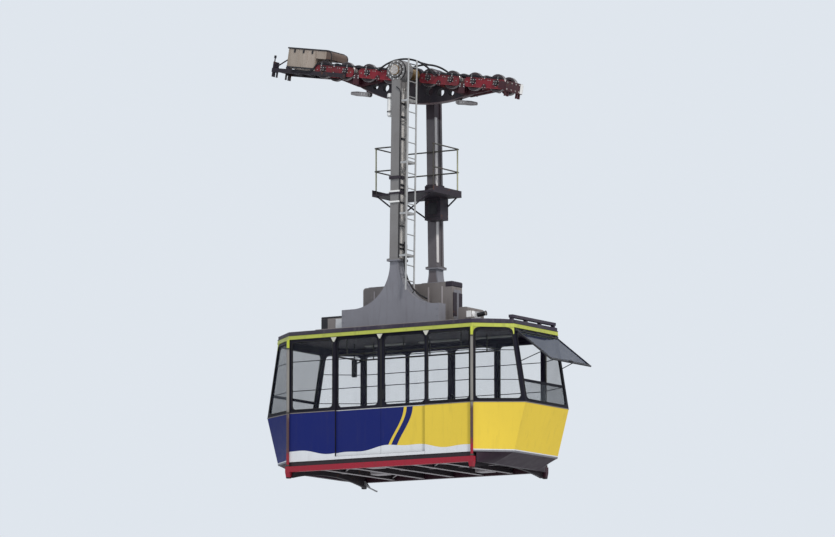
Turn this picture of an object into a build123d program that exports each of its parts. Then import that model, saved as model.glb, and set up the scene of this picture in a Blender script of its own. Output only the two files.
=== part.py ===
# Aerial cable car: a carriage on two track ropes, a two-legged hanger and an octagonal cabin.
# Millimetres. The origin lies midway between the two track ropes, on their centre lines, under
# the middle of the carriage. +X runs along the line, downhill as stored, +Y across it, +Z up.
# The carriage follows the sloping ropes; the hanger and the cabin hang plumb from its axle.
# Carriage pieces are drawn level, with x along the ropes and z square to them, then tilted.
# Cabin and hanger pieces are drawn with z = 0 at the lower edge of the cabin's wall panels.
import math
import os

from build123d import *

# the line
ROPE_SLOPE = 9.0  # degrees that the ropes fall towards +X
ROPE_GAUGE = 420.0
ROPE_RADIUS = 22.5
HAUL_ROPE_RADIUS = 14.0
HAUL_ROPE_DROP = 230.0

# wheels and bogies
WHEEL_RADIUS = 180.0
WHEEL_WIDTH = 80.0
WHEEL_HUB_RADIUS = 62.0
WHEEL_SIDES = 20  # flats round a wheel
WHEEL_FLANGE = 10.0
WHEEL_RIM = 30.0
WHEEL_WEB = 24.0
AXLE_HEIGHT = 175.0
AXLE_RADIUS = 35.0
AXLE_CAP_RADIUS = 48.0
WHEEL_PITCH = 520.0
BOGIE_PITCH = 1040.0
ROCKER_PIVOT_X = 1230.0
BOGIE_PIN_HEIGHT = 85.0
BOGIE_PIN_RADIUS = 28.0
PLATE_THICKNESS = 24.0
SIDE_GAP = 15.0  # between a wheel's flank and the bogie plate beside it
BOGIE_PLATE_LENGTH = 900.0
BOGIE_PLATE_LOW = 60.0
BOGIE_PLATE_HIGH = 250.0
RUNNING_FIT = 0.05
CAP_GAP = 6.0

# main beam of the carriage
BEAM_WIDTH = 120.0
BEAM_HALF_LENGTH = 1320.0
BEAM_TOP = 100.0
BEAM_END_BOTTOM = -60.0
BEAM_MID_BOTTOM = -330.0
PIVOT_HEIGHT = 220.0  # hanger axle above the ropes
HUB_RADIUS = 150.0
HANGER_AXLE_RADIUS = 65.0
ROCKER_GAP = 12.0
LUG_X = 1040.0  # haul rope lugs
LUG_THICKNESS = 44.0

# rope brakes on the rockers
JAW_LENGTH = 140.0
JAW_HALF_WIDTH = 45.0
JAW_GAP = 8.0  # beside the rope
JAW_LOW = -70.0
JAW_HIGH = 150.0
BRAKE_TUBE_RADIUS = 22.0

# uphill end of the carriage
FRAME_TAIL = -3200.0
FRAME_ROOT = -1450.0
FRAME_RAIL = 35.0
FRAME_LOW = 35.0
FRAME_HIGH = 115.0
GUIDE_THICKNESS = 30.0
GUIDE_GAP = 34.0  # half a rope guide's slot
CASE_UPHILL = -2880.0
CASE_STEP = -2215.0
CASE_DOWNHILL = -1850.0
CASE_LOW = 155.0
CASE_STEP_LOW = 372.0
CASE_TOP = 530.0
CASE_ROUND = 90.0
CASE_LID = 22.0

# downhill end of the carriage
NOSE_ROOT = 2080.0
NOSE_TIP = 2245.0
NOSE_PLATE_HEIGHT = 200.0
NOSE_CHEEK = 18.0
NOSE_SLOT = 32.0

# cabin shell
STRAIGHT_LENGTH = 4150.0
CABIN_WIDTH = 2690.0
END_WIDTH = 1620.0
CORNER_RUN = 600.0  # length of a corner panel along the line, at its foot and its head
BELT_RUN = 860.0  # the same at the belt, where the ends stand out furthest
WALL_HEIGHT = 2460.0
BELT_HEIGHT = 945.0
BAND_HEIGHT = 80.0
BAND_PROUD = 15.0
WALL = 40.0
GLASS = 6.0
GLASS_INSET = 12.0
GLASS_FIT = 0.3
SILL_MARGIN = 62.0
HEAD_MARGIN = 58.0
WINDOW_RADIUS = 90.0
POST_MARGIN = 62.0
BAR_RADIUS = 8.0
BAR_HEIGHTS = (430.0, 1000.0)  # window bars above the belt
END_BAR = 50.0
FLOOR = 60.0
ROOF_EDGE = 70.0
ROOF_CROWN = 60.0
ROOF_CROWN_INSET = 400.0

# sliding doors
DOOR_BAY = 1020.0
DOOR_OVERLAP = 35.0
DOOR_THICKNESS = 35.0
DOOR_GAP = 6.0
DOOR_MEETING_GAP = 5.0
DOOR_MEETING_STILE = 72.5
DOOR_OUTER_STILE = 70.0
MULLION = 55.0
DOOR_TRAVEL = 950.0
TRACK_HEIGHT = 70.0
TRACK_CAVITY = 34.0
TRACK_WALL = 5.0
TRACK_SLOT = 20.0
ROLLER_RADIUS = 20.0
SEAT = 0.3

# below the floor
RAIL_WIDTH = 100.0
RAIL_HEIGHT = 105.0
RAIL_PROUD = 60.0
SILL_HEIGHT = 90.0
SILL_WIDTH = 80.0
FOOT_HEIGHT = 120.0
FOOT_SIZE = 100.0
GUIDE_POST_RADIUS = 28.0
CROSS_BEAM_WIDTH = 60.0
CROSS_BEAM_DEPTH = 180.0
CROSS_BEAM_COUNT = 5
ARCH_DEPTH = 110.0
BLADE_REACH = 330.0  # slanting blade at the uphill end of the underframe, from its root to its tip
BLADE_WIDTH = 90.0
BLADE_ROOT_Z = -150.0
BLADE_TIP_Z = -400.0
BLADE_THICKNESS = 20.0

# hanger
HANGER_DROP = 5120.0  # eave top below the hanger axle
LEG_TOP_Y = 620.0
LEG_FOOT_Y = 740.0
LEG_X = 190.0
LEG_Y = 280.0
LEG_GROOVE_DEPTH = 20.0
LEG_GROOVE_WIDTH = 150.0
LEG_HEAD_RADIUS = 215.0
FLANGE = 25.0
FLARE_RADIUS = 850.0
FLARE_TOP = 1400.0  # above the eave
FLARE_LOW = 500.0
BASE_UPHILL = 1200.0
BASE_DOWNHILL = 1020.0
BASE_WIDTH = 240.0
ROOF_TRUNK_X = (-1120.0, 920.0)
ROOF_TRUNK_WIDTH = 360.0
ROOF_TRUNK_TOP = 990.0

# ladder and platform
CANISTER_RADIUS = 62.0
CANISTER_STAND = 12.0
CANISTER_LENGTH = 450.0
CANISTER_LOW = -890.0  # from the hanger axle
LADDER_X = 320.0
LADDER_WIDTH = 300.0
LADDER_OFFSET = -45.0
LADDER_FOOT = 780.0
LADDER_OVER = 200.0
STRINGER_RADIUS = 18.0
RUNG_RADIUS = 11.0
RUNG_PITCH = 300.0
PLATFORM_HEIGHT = 2760.0  # deck above the eave
PLATFORM_X = 700.0
PLATFORM_Y = 525.0
DECK = 40.0
RAILING_HEIGHT = 910.0
RAILING_INSET = 30.0
RAILING_BEND = 60.0
RAILING_RADIUS = 14.0

# the flap in the downhill end stands open
FLAP_ANGLE = 52.0
FLAP_LENGTH = 960.0
FLAP_FRAME = 40.0
FLAP_THICKNESS = 26.0

HALF_LENGTH = STRAIGHT_LENGTH / 2
HALF_WIDTH = CABIN_WIDTH / 2
WALL_TOP = WALL_HEIGHT - BAND_HEIGHT
ROOF_TOP = WALL_HEIGHT + ROOF_EDGE + ROOF_CROWN
AXLE_LEVEL = WALL_HEIGHT + HANGER_DROP
WHEEL_INNER = ROPE_GAUGE / 2 - WHEEL_WIDTH / 2
WHEEL_OUTER = ROPE_GAUGE / 2 + WHEEL_WIDTH / 2
INNER_PLATE = WHEEL_INNER - SIDE_GAP - PLATE_THICKNESS
OUTER_PLATE = WHEEL_OUTER + SIDE_GAP
PLATE_OUTSIDE = OUTER_PLATE + PLATE_THICKNESS
LEG_INSIDE = LEG_TOP_Y - LEG_Y / 2
DOOR_INSET = WALL + DOOR_GAP
NOSE_INSIDE = ROCKER_PIVOT_X + (BOGIE_PITCH + BOGIE_PLATE_LENGTH) / 2 + CAP_GAP
DOOR_CENTRE = DOOR_INSET + DOOR_THICKNESS / 2
UPHILL, DOWNHILL = -1, 1
NEAR, FAR = -1, 1

nodes = {}
panes = []


def block(x, y, z):
    """A box from its limits, each a pair in either order."""
    sizes = [abs(b - a) for a, b in (x, y, z)]
    return Pos((x[0] + x[1]) / 2, (y[0] + y[1]) / 2, (z[0] + z[1]) / 2) * Box(*sizes)


def across(sketch, y0, y1):
    """A sketch drawn in x and z, made solid between two places across the line."""
    low, high = min(y0, y1), max(y0, y1)
    return Pos(0, high, 0) * Rot(90, 0, 0) * extrude(sketch, high - low)


def rod(start, end, radius):
    """A round bar between two points."""
    start, end = Vector(*start), Vector(*end)
    axis = end - start
    return Solid.make_cylinder(radius, axis.length, Plane(origin=start, z_dir=axis))


def bar(start, end, radius, sides=8):
    """A thin round bar, drawn with a few flats."""
    start, end = Vector(*start), Vector(*end)
    axis = end - start
    return extrude(Plane(origin=start, z_dir=axis) * RegularPolygon(radius, sides), axis.length)


def softened(points, radius, steps=2, close=False):
    """A bent bar's line: each corner is turned in a few short straight steps."""
    points = [Vector(*point) for point in points]
    line = [] if close else [points[0]]
    for i in range(0 if close else 1, len(points) if close else len(points) - 1):
        before = (points[i - 1] - points[i]).normalized() * radius
        after = (points[(i + 1) % len(points)] - points[i]).normalized() * radius
        for step in range(steps + 1):
            t = step / steps
            line.append(points[i] + before * (1 - t) ** 2 + after * t ** 2)
    return Polyline(*(line if close else line + [points[-1]]), close=close)


def bent_bar(path, radius, sides=8):
    """A thin bar along a line of straight steps, mitred at each turn."""
    section = Plane(origin=path @ 0, z_dir=path % 0) * RegularPolygon(radius, sides)
    return sweep(section, path=path, transition=Transition.RIGHT)


def joined(shapes):
    """One shape from several."""
    whole = shapes[0]
    for shape in shapes[1:]:
        whole += shape
    return whole


def flat(points, z):
    return make_face(Polyline(*[(x, y, z) for x, y in points], close=True))


def outline_xz(points):
    return make_face(Polyline(*points, close=True))


def on_rope(shape):
    """Tilts a carriage piece about the origin so that it follows the ropes."""
    return Rot(0, ROPE_SLOPE, 0) * shape


def hung(shape):
    """Hangs a cabin or hanger piece plumb under the carriage's axle."""
    slope = math.radians(ROPE_SLOPE)
    return Pos(PIVOT_HEIGHT * math.sin(slope), 0, PIVOT_HEIGHT * math.cos(slope) - AXLE_LEVEL) * shape


# octagonal shell

def corner_run(z):
    """How far the end wall stands beyond the long walls at a height."""
    if z < BELT_HEIGHT:
        return CORNER_RUN + (BELT_RUN - CORNER_RUN) * z / BELT_HEIGHT
    return BELT_RUN + (CORNER_RUN - BELT_RUN) * (z - BELT_HEIGHT) / (WALL_HEIGHT - BELT_HEIGHT)


def octagon(z, inset=0.0):
    """The eight corners of the shell at a height, moved square to the walls by an inset."""
    end_x, end_y = HALF_LENGTH + corner_run(min(z, WALL_HEIGHT)), END_WIDTH / 2
    side = [(HALF_LENGTH, -HALF_WIDTH), (end_x, -end_y), (end_x, end_y), (HALF_LENGTH, HALF_WIDTH)]
    corners = [Vector(x, y) for x, y in side] + [Vector(-x, -y) for x, y in side]
    inner = []
    for i, corner in enumerate(corners):
        before = (corner - corners[i - 1]).normalized()
        after = (corners[(i + 1) % 8] - corner).normalized()
        normals = [Vector(-d.Y, d.X) for d in (before, after)]
        moved = corner + (normals[0] + normals[1]) * (inset / (1 + normals[0].dot(normals[1])))
        inner.append((moved.X, moved.Y))
    return inner


# wall: index of its first corner in octagon()
WALLS = {
    "corner_near_downhill": 0,
    "end_downhill": 1,
    "corner_far_downhill": 2,
    "side_far": 3,
    "corner_far_uphill": 4,
    "end_uphill": 5,
    "corner_near_uphill": 6,
    "side_near": 7,
}


def slab(wall, levels, outer=0.0, inner=WALL):
    """One wall of the shell between two insets, straight from level to level."""
    i = WALLS[wall]
    j = (i + 1) % 8
    sections = []
    for z in levels:
        outside, inside = octagon(z, outer), octagon(z, inner)
        sections.append(flat([outside[i], outside[j], inside[j], inside[i]], z))
    return loft(sections, ruled=True)


def wall_plane(wall):
    """Upright plane on a wall, its x along the wall and its z outwards."""
    i = WALLS[wall]
    start, end = Vector(*octagon(0.0)[i], 0), Vector(*octagon(0.0)[(i + 1) % 8], 0)
    belt_end = Vector(*octagon(BELT_HEIGHT)[(i + 1) % 8], 0)
    belt_start = Vector(*octagon(BELT_HEIGHT)[i], 0)
    along = (end + belt_end) - (start + belt_start)
    return Plane(origin=start, x_dir=along, z_dir=along.cross(Vector(0, 0, 1)))


def prism(wall, low, high, margins, grow=0.0):
    """A window's outline run through a wall; margins are from the wall's two ends."""
    i = WALLS[wall]
    plane = wall_plane(wall)
    corners = []
    for z, ends in ((low, (0, 1)), (high, (1, 0))):
        for end in ends:
            x, y = octagon(z)[(i + end) % 8]
            u = plane.to_local_coords(Vector(x, y, z)).X
            u += (margins[0] - grow) if end == 0 else (grow - margins[1])
            corners.append((u, z + (grow if z == high else -grow)))
    face = outline_xz(corners)
    face = fillet(face.vertices(), WINDOW_RADIUS + grow)
    return extrude(plane * face, 4 * BELT_RUN - 3 * CORNER_RUN, both=True)


WINDOW_LOW = BELT_HEIGHT + SILL_MARGIN
WINDOW_HIGH = WALL_TOP - HEAD_MARGIN
SHELL_LEVELS = (0.0, BELT_HEIGHT, WALL_HEIGHT)
FIXED_SIDE = STRAIGHT_LENGTH - (HALF_LENGTH - DOOR_BAY)


def window_bars(wall, inset, radius=BAR_RADIUS):
    """Level bars across a wall's windows, buried in the frame at both ends."""
    i = WALLS[wall]
    bars = []
    for height in BAR_HEIGHTS:
        z = BELT_HEIGHT + height
        ends = octagon(z, inset)
        start, end = Vector(*ends[i], z), Vector(*ends[(i + 1) % 8], z)
        step = (end - start).normalized() * (POST_MARGIN - WALL / 2)
        bars.append(bar(start + step, end - step, radius, 6))
    return bars


def make_corner_walls():
    for wall in [name for name in WALLS if name.startswith("corner")]:
        panel = slab(wall, SHELL_LEVELS)
        margins = (POST_MARGIN, POST_MARGIN)
        panel -= prism(wall, WINDOW_LOW, WINDOW_HIGH, margins)
        nodes[f"{wall}_wall"] = joined([panel] + window_bars(wall, WALL * 0.7))
        pane = slab(wall, (BELT_HEIGHT, WALL_TOP), GLASS_INSET, GLASS_INSET + GLASS)
        panes.append(pane & prism(wall, WINDOW_LOW, WINDOW_HIGH, margins, -GLASS_FIT))


def make_end_walls():
    """Each end has a low fixed pane and a sash above the bar, open downhill and shut uphill."""
    bar_low = BELT_HEIGHT + BAR_HEIGHTS[0] - END_BAR / 2
    for wall, is_open in (("end_uphill", False), ("end_downhill", True)):
        margins = (POST_MARGIN, POST_MARGIN)
        panel = slab(wall, SHELL_LEVELS)
        panel -= prism(wall, WINDOW_LOW, WINDOW_HIGH, margins)
        bar = slab(wall, (bar_low, bar_low + END_BAR), WALL * 0.1, WALL * 0.9)
        panel += bar & prism(wall, WINDOW_LOW, WINDOW_HIGH, (WALL, WALL))
        nodes[f"{wall}_wall"] = panel
        opening = prism(wall, WINDOW_LOW, WINDOW_HIGH, margins, -GLASS_FIT)
        low = slab(wall, (BELT_HEIGHT, bar_low - GLASS_FIT), GLASS_INSET, GLASS_INSET + GLASS)
        panes.append(low & opening)
        if not is_open:
            sash_levels = (bar_low + END_BAR + GLASS_FIT, WALL_TOP)
            sash = slab(wall, sash_levels, GLASS_INSET, GLASS_INSET + GLASS)
            panes.append(sash & opening)


def flap_hinge():
    """Middle of the flap's hinge line, just outside the downhill end wall's head."""
    return Vector(HALF_LENGTH + corner_run(WINDOW_HIGH) + FLAP_THICKNESS / 2 + SEAT, 0, WINDOW_HIGH)


def make_flap():
    """Top-hung sash: a framed pane that swings out about its upper edge."""
    width = END_WIDTH - 2 * POST_MARGIN + FLAP_FRAME / 2
    frame = Box(FLAP_THICKNESS, width, FLAP_LENGTH)
    opening = Box(FLAP_THICKNESS, width - 2 * FLAP_FRAME, FLAP_LENGTH - 2 * FLAP_FRAME)
    pane = Box(GLASS, width - 2 * FLAP_FRAME - 2 * GLASS_FIT, FLAP_LENGTH - 2 * FLAP_FRAME - 2 * GLASS_FIT)
    hinge = flap_hinge()
    place = Pos(hinge.X, 0, hinge.Z) * Rot(0, -FLAP_ANGLE, 0) * Pos(0, 0, -FLAP_LENGTH / 2)
    sash = place * (frame - opening)
    wall_face = nodes["end_downhill_wall"]
    for side in (NEAR, FAR):
        y = side * (width / 2 - FLAP_FRAME / 2)
        sash += block((hinge.X - FLAP_THICKNESS, hinge.X + 4), (y - 60, y + 60), (hinge.Z - 14, hinge.Z + 34))
        foot_z = WINDOW_HIGH - FLAP_LENGTH * 0.62
        foot_x = HALF_LENGTH + corner_run(foot_z)
        knee = hinge + Vector(math.sin(math.radians(FLAP_ANGLE)), 0,
                              -math.cos(math.radians(FLAP_ANGLE))) * (FLAP_LENGTH * 0.72)
        y_foot = side * (END_WIDTH / 2 - POST_MARGIN / 2)
        sash += bar((foot_x - 4, y_foot, foot_z), (knee.X, y, knee.Z), 9, 6)
    nodes["vent_flap"] = sash - wall_face
    panes.append(place * pane)


def make_side_walls():
    """Long walls: fixed bays at both ends, doorway between, door track inside the header."""
    for side, wall in ((NEAR, "side_near"), (FAR, "side_far")):
        panel = slab(wall, SHELL_LEVELS)
        panel -= block((-DOOR_BAY, DOOR_BAY), (-CABIN_WIDTH, CABIN_WIDTH), (-FLOOR, WALL_TOP))
        for end in (UPHILL, DOWNHILL):
            margins = [POST_MARGIN, FIXED_SIDE + MULLION]
            if (end == DOWNHILL) != (side == FAR):
                margins.reverse()
            panel -= prism(wall, WINDOW_LOW, WINDOW_HIGH, margins)
            reach = block((end * (DOOR_BAY + MULLION / 2), end * HALF_LENGTH), (-HALF_WIDTH, HALF_WIDTH),
                          (0, WALL_TOP))
            panel = joined([panel] + [bar & reach for bar in window_bars(wall, WALL * 0.7)])
            pane = slab(wall, (BELT_HEIGHT, WALL_TOP), GLASS_INSET, GLASS_INSET + GLASS)
            panes.append(pane & prism(wall, WINDOW_LOW, WINDOW_HIGH, margins, -GLASS_FIT))
        nodes[f"{wall}_wall"] = panel + door_track(side)


def door_track(side):
    """Slotted channel along the header for the rollers of both leaves."""
    reach = DOOR_BAY + DOOR_OVERLAP + DOOR_TRAVEL
    low = WALL_HEIGHT - TRACK_HEIGHT
    middle = side * (HALF_WIDTH - DOOR_CENTRE)
    cavity, slot = TRACK_CAVITY / 2, TRACK_SLOT / 2
    inside = middle - side * (cavity + TRACK_WALL)
    track = block((-reach, reach), (side * (HALF_WIDTH - WALL), inside), (low, WALL_HEIGHT))
    track -= block((-reach, reach), (middle - cavity, middle + cavity),
                   (low + TRACK_WALL, WALL_HEIGHT - TRACK_WALL))
    return track - block((-reach, reach), (middle - slot, middle + slot), (low, low + TRACK_WALL))


def make_doors():
    """Two leaves a side, hung from rollers in a ceiling track just inside the long walls."""
    leaf_low, leaf_high = FLOOR + DOOR_GAP, WALL_HEIGHT - TRACK_HEIGHT - DOOR_GAP
    roller_z = WALL_HEIGHT - TRACK_HEIGHT + TRACK_WALL + SEAT + ROLLER_RADIUS
    for side, side_name in ((NEAR, "near"), (FAR, "far")):
        outer_y = side * (HALF_WIDTH - DOOR_INSET)
        inner_y = outer_y - side * DOOR_THICKNESS
        centre_y = side * (HALF_WIDTH - DOOR_CENTRE)
        for end, end_name in ((UPHILL, "uphill"), (DOWNHILL, "downhill")):
            inner_x, outer_x = end * DOOR_MEETING_GAP / 2, end * (DOOR_BAY + DOOR_OVERLAP)
            leaf = block((inner_x, outer_x), (inner_y, outer_y), (leaf_low, leaf_high))
            light = (inner_x + end * DOOR_MEETING_STILE, outer_x - end * DOOR_OUTER_STILE)
            hole = Pos(sum(light) / 2, (WINDOW_LOW + WINDOW_HIGH) / 2) * RectangleRounded(
                abs(light[1] - light[0]), WINDOW_HIGH - WINDOW_LOW, WINDOW_RADIUS)
            leaf -= across(hole, inner_y, outer_y)
            bar_y = outer_y - side * DOOR_THICKNESS * 0.7
            for height in BAR_HEIGHTS:
                z = BELT_HEIGHT + height
                leaf += bar((light[0] - end * BAR_RADIUS, bar_y, z),
                            (light[1] + end * BAR_RADIUS, bar_y, z), BAR_RADIUS, 6)
            for share in (0.2, 0.8):
                x = inner_x + (outer_x - inner_x) * share
                leaf += block((x - 20, x + 20), (centre_y - 4, centre_y + 4), (leaf_high, roller_z))
                leaf += rod((x, centre_y - 10, roller_z), (x, centre_y + 10, roller_z), ROLLER_RADIUS)
            nodes[f"door_{side_name}_{end_name}"] = leaf
            pane = Pos(sum(light) / 2, (WINDOW_LOW + WINDOW_HIGH) / 2) * RectangleRounded(
                abs(light[1] - light[0]) - 2 * GLASS_FIT,
                WINDOW_HIGH - WINDOW_LOW - 2 * GLASS_FIT, WINDOW_RADIUS - GLASS_FIT)
            glass_y = outer_y - side * GLASS_INSET / 2
            nodes[f"door_{side_name}_{end_name}_glass"] = across(pane, glass_y, glass_y - side * GLASS)


def make_floor_and_roof():
    floor = loft([flat(octagon(z, WALL + SEAT), z) for z in (0.0, FLOOR)], ruled=True)
    for side in (NEAR, FAR):
        floor += block((-DOOR_BAY + SEAT, DOOR_BAY - SEAT), (side * (HALF_WIDTH - 2 * WALL), side * HALF_WIDTH),
                       (0, FLOOR))
    nodes["floor"] = floor
    levels = (WALL_TOP, WALL_HEIGHT)
    band = loft([flat(octagon(z, -BAND_PROUD), z) for z in levels], ruled=True)
    nodes["eave_band"] = band - loft([flat(octagon(z), z) for z in levels], ruled=True)
    edge = octagon(WALL_HEIGHT, -BAND_PROUD / 2)
    sections = [flat(edge, WALL_HEIGHT), flat(edge, WALL_HEIGHT + ROOF_EDGE)]
    sections.append(flat(octagon(WALL_HEIGHT, ROOF_CROWN_INSET), ROOF_TOP))
    roof = loft(sections, ruled=True)
    kerb_x = HALF_LENGTH + CORNER_RUN
    kerb_z = WALL_HEIGHT + ROOF_EDGE
    kerb = block((kerb_x - 110, kerb_x - 20), (-END_WIDTH / 2, END_WIDTH / 2), (kerb_z + 45, kerb_z + 100))
    for share in (-0.95, -0.32, 0.32, 0.95):
        y = share * END_WIDTH / 2
        kerb += block((kerb_x - 100, kerb_x - 30), (y - 25, y + 25), (kerb_z - 10, kerb_z + 45))
    nodes["roof"] = roof + kerb


def make_underframe():
    """Sills, cross-beams and arched end members under the floor."""
    frame = None
    rail_inside = HALF_WIDTH + RAIL_PROUD - RAIL_WIDTH
    for side in (NEAR, FAR):
        sill = block((-HALF_LENGTH, HALF_LENGTH),
                     (side * (HALF_WIDTH - BAND_PROUD), side * (HALF_WIDTH - BAND_PROUD - SILL_WIDTH)),
                     (-SILL_HEIGHT, 0))
        frame = sill if frame is None else frame + sill
    end_x = HALF_LENGTH - FOOT_SIZE / 2
    step = 2 * end_x / (CROSS_BEAM_COUNT + 1)
    for i in range(1, CROSS_BEAM_COUNT + 1):
        x = i * step - end_x
        frame += block((x - CROSS_BEAM_WIDTH / 2, x + CROSS_BEAM_WIDTH / 2), (-rail_inside, rail_inside),
                       (-CROSS_BEAM_DEPTH, 0))
    for y in (-END_WIDTH / 4, END_WIDTH / 4):
        frame += block((-end_x, end_x), (y - 35, y + 35), (-SILL_HEIGHT, 0))
    low = -SILL_HEIGHT - RAIL_HEIGHT
    for end in (UPHILL, DOWNHILL):
        arch = make_face(Polyline((-rail_inside, low - ARCH_DEPTH), (-rail_inside, 0), (rail_inside, 0),
                                  (rail_inside, low - ARCH_DEPTH))
                         + ThreePointArc((-rail_inside, low - ARCH_DEPTH), (0, low + FOOT_SIZE / 4),
                                         (rail_inside, low - ARCH_DEPTH)))
        member = extrude(Plane.YZ * arch, CROSS_BEAM_WIDTH)
        frame += Pos(end * end_x - CROSS_BEAM_WIDTH / 2, 0, 0) * member
    root = -HALF_LENGTH + FOOT_SIZE / 2
    knee_x, knee_z = root + BLADE_REACH * 0.4, BLADE_ROOT_Z + (BLADE_TIP_Z - BLADE_ROOT_Z) * 0.62
    blade = outline_xz([(root - BLADE_WIDTH / 2, BLADE_ROOT_Z), (root + BLADE_WIDTH / 2, BLADE_ROOT_Z),
                        (knee_x + BLADE_WIDTH / 3, knee_z), (root + BLADE_REACH, BLADE_TIP_Z + BLADE_THICKNESS),
                        (root + BLADE_REACH - BLADE_THICKNESS, BLADE_TIP_Z), (knee_x - BLADE_WIDTH / 4, knee_z)])
    blade_y = rail_inside - 2 * BLADE_THICKNESS
    nodes["underframe"] = frame + across(blade, blade_y - BLADE_THICKNESS, blade_y)


def make_side_frames():
    """Side rail with a foot under each end and the round guide posts that stand on it."""
    low = -SILL_HEIGHT - RAIL_HEIGHT
    for side, name in ((NEAR, "near"), (FAR, "far")):
        outer_y = side * (HALF_WIDTH + RAIL_PROUD)
        inner_y = outer_y - side * RAIL_WIDTH
        rail_x = HALF_LENGTH + FOOT_SIZE / 2
        frame = block((-rail_x, rail_x), (inner_y, outer_y), (low, -SILL_HEIGHT))
        for end in (UPHILL, DOWNHILL):
            head = [(end * HALF_LENGTH + dx, (inner_y + outer_y) / 2 + dy)
                    for dx, dy in ((-50, -50), (50, -50), (50, 50), (-50, 50))]
            toe = [(end * HALF_LENGTH + dx * 0.7, (inner_y + outer_y) / 2 + dy * 0.7)
                   for dx, dy in ((-50, -50), (50, -50), (50, 50), (-50, 50))]
            frame += loft([flat(head, low), flat(toe, low - FOOT_HEIGHT)], ruled=True)
            post_x = end * (HALF_LENGTH + GUIDE_POST_RADIUS * 0.35)
            post_y = side * (HALF_WIDTH + GUIDE_POST_RADIUS + SEAT)
            frame += rod((post_x, post_y, -SILL_HEIGHT), (post_x, post_y, WALL_TOP), GUIDE_POST_RADIUS)
        nodes[f"side_frame_{name}"] = frame


def make_bellies():
    """Sloping trays that close the underside beyond the feet."""
    start = HALF_LENGTH + FOOT_SIZE / 2 + DOOR_GAP
    share = (start - HALF_LENGTH) / CORNER_RUN
    side_y = HALF_WIDTH - (HALF_WIDTH - END_WIDTH / 2) * share - BAND_PROUD
    end_x = HALF_LENGTH + CORNER_RUN - BAND_PROUD
    end_y = END_WIDTH / 2
    low = -SILL_HEIGHT - RAIL_HEIGHT
    for end, name in ((UPHILL, "uphill"), (DOWNHILL, "downhill")):
        top = [(end * start, -side_y), (end * end_x, -end_y), (end * end_x, end_y), (end * start, side_y)]
        toe = end * (start + FOOT_SIZE)
        bottom = [(end * start, -side_y), (toe, -end_y), (toe, end_y), (end * start, side_y)]
        nodes[f"belly_{name}"] = loft([flat(top, 0), flat(bottom, low)], ruled=True)


def make_grab_rail():
    """Closed loop of tube hung from the ceiling."""
    rail_z = WALL_HEIGHT - 330
    corners = [(-1650, -480), (1650, -480), (1650, 480), (-1650, 480)]
    rail = bent_bar(softened([(x, y, rail_z) for x, y in corners], 160, close=True), 16)
    for x in (-1300, 0, 1300):
        for y in (-480, 480):
            rail += bar((x, y, rail_z), (x, y, WALL_HEIGHT), 13)
    nodes["grab_rail"] = rail


# hanger

def leg_place(side):
    """Frame of a leg: origin on the axle, +z up the leg."""
    lean = math.degrees(math.atan2(LEG_FOOT_Y - LEG_TOP_Y, AXLE_LEVEL - ROOF_TOP))
    return Pos(0, side * LEG_TOP_Y, AXLE_LEVEL) * Rot(side * lean, 0, 0)


def leg_y_at(z):
    return LEG_TOP_Y + (LEG_FOOT_Y - LEG_TOP_Y) * (AXLE_LEVEL - z) / (AXLE_LEVEL - ROOF_TOP)


def make_legs():
    """Box legs with sunk webs, round heads on the axle and a bolted flange at the foot."""
    joint_z = WALL_HEIGHT + FLARE_TOP
    for side, name in ((NEAR, "near"), (FAR, "far")):
        section = Rectangle(LEG_X, LEG_Y)
        for x in (-LEG_X / 2, LEG_X / 2):
            section -= Pos(x, 0) * Rectangle(2 * LEG_GROOVE_DEPTH, LEG_GROOVE_WIDTH)
        shaft = leg_place(side) * Pos(0, 0, -AXLE_LEVEL) * extrude(section, AXLE_LEVEL)
        shaft &= block((-LEG_X, LEG_X), (-LEG_FOOT_Y * 2, LEG_FOOT_Y * 2), (joint_z, AXLE_LEVEL + LEG_X))
        y0, y1 = side * LEG_INSIDE, side * (LEG_TOP_Y + LEG_Y / 2)
        leg = shaft + across(Pos(0, AXLE_LEVEL) * Circle(LEG_HEAD_RADIUS), y0, y1)
        leg += across(Pos(0, AXLE_LEVEL) * Circle(LEG_HEAD_RADIUS * 0.62), y1, y1 + side * 30)
        foot_y = side * leg_y_at(joint_z)
        leg += block((-LEG_X * 0.75, LEG_X * 0.75), (foot_y - LEG_Y * 0.58, foot_y + LEG_Y * 0.58),
                     (joint_z, joint_z + FLANGE))
        leg -= across(Pos(0, AXLE_LEVEL) * Circle(HANGER_AXLE_RADIUS + RUNNING_FIT), y0 * 0.9, y1 * 1.1)
        nodes[f"hanger_leg_{name}"] = leg


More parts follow.
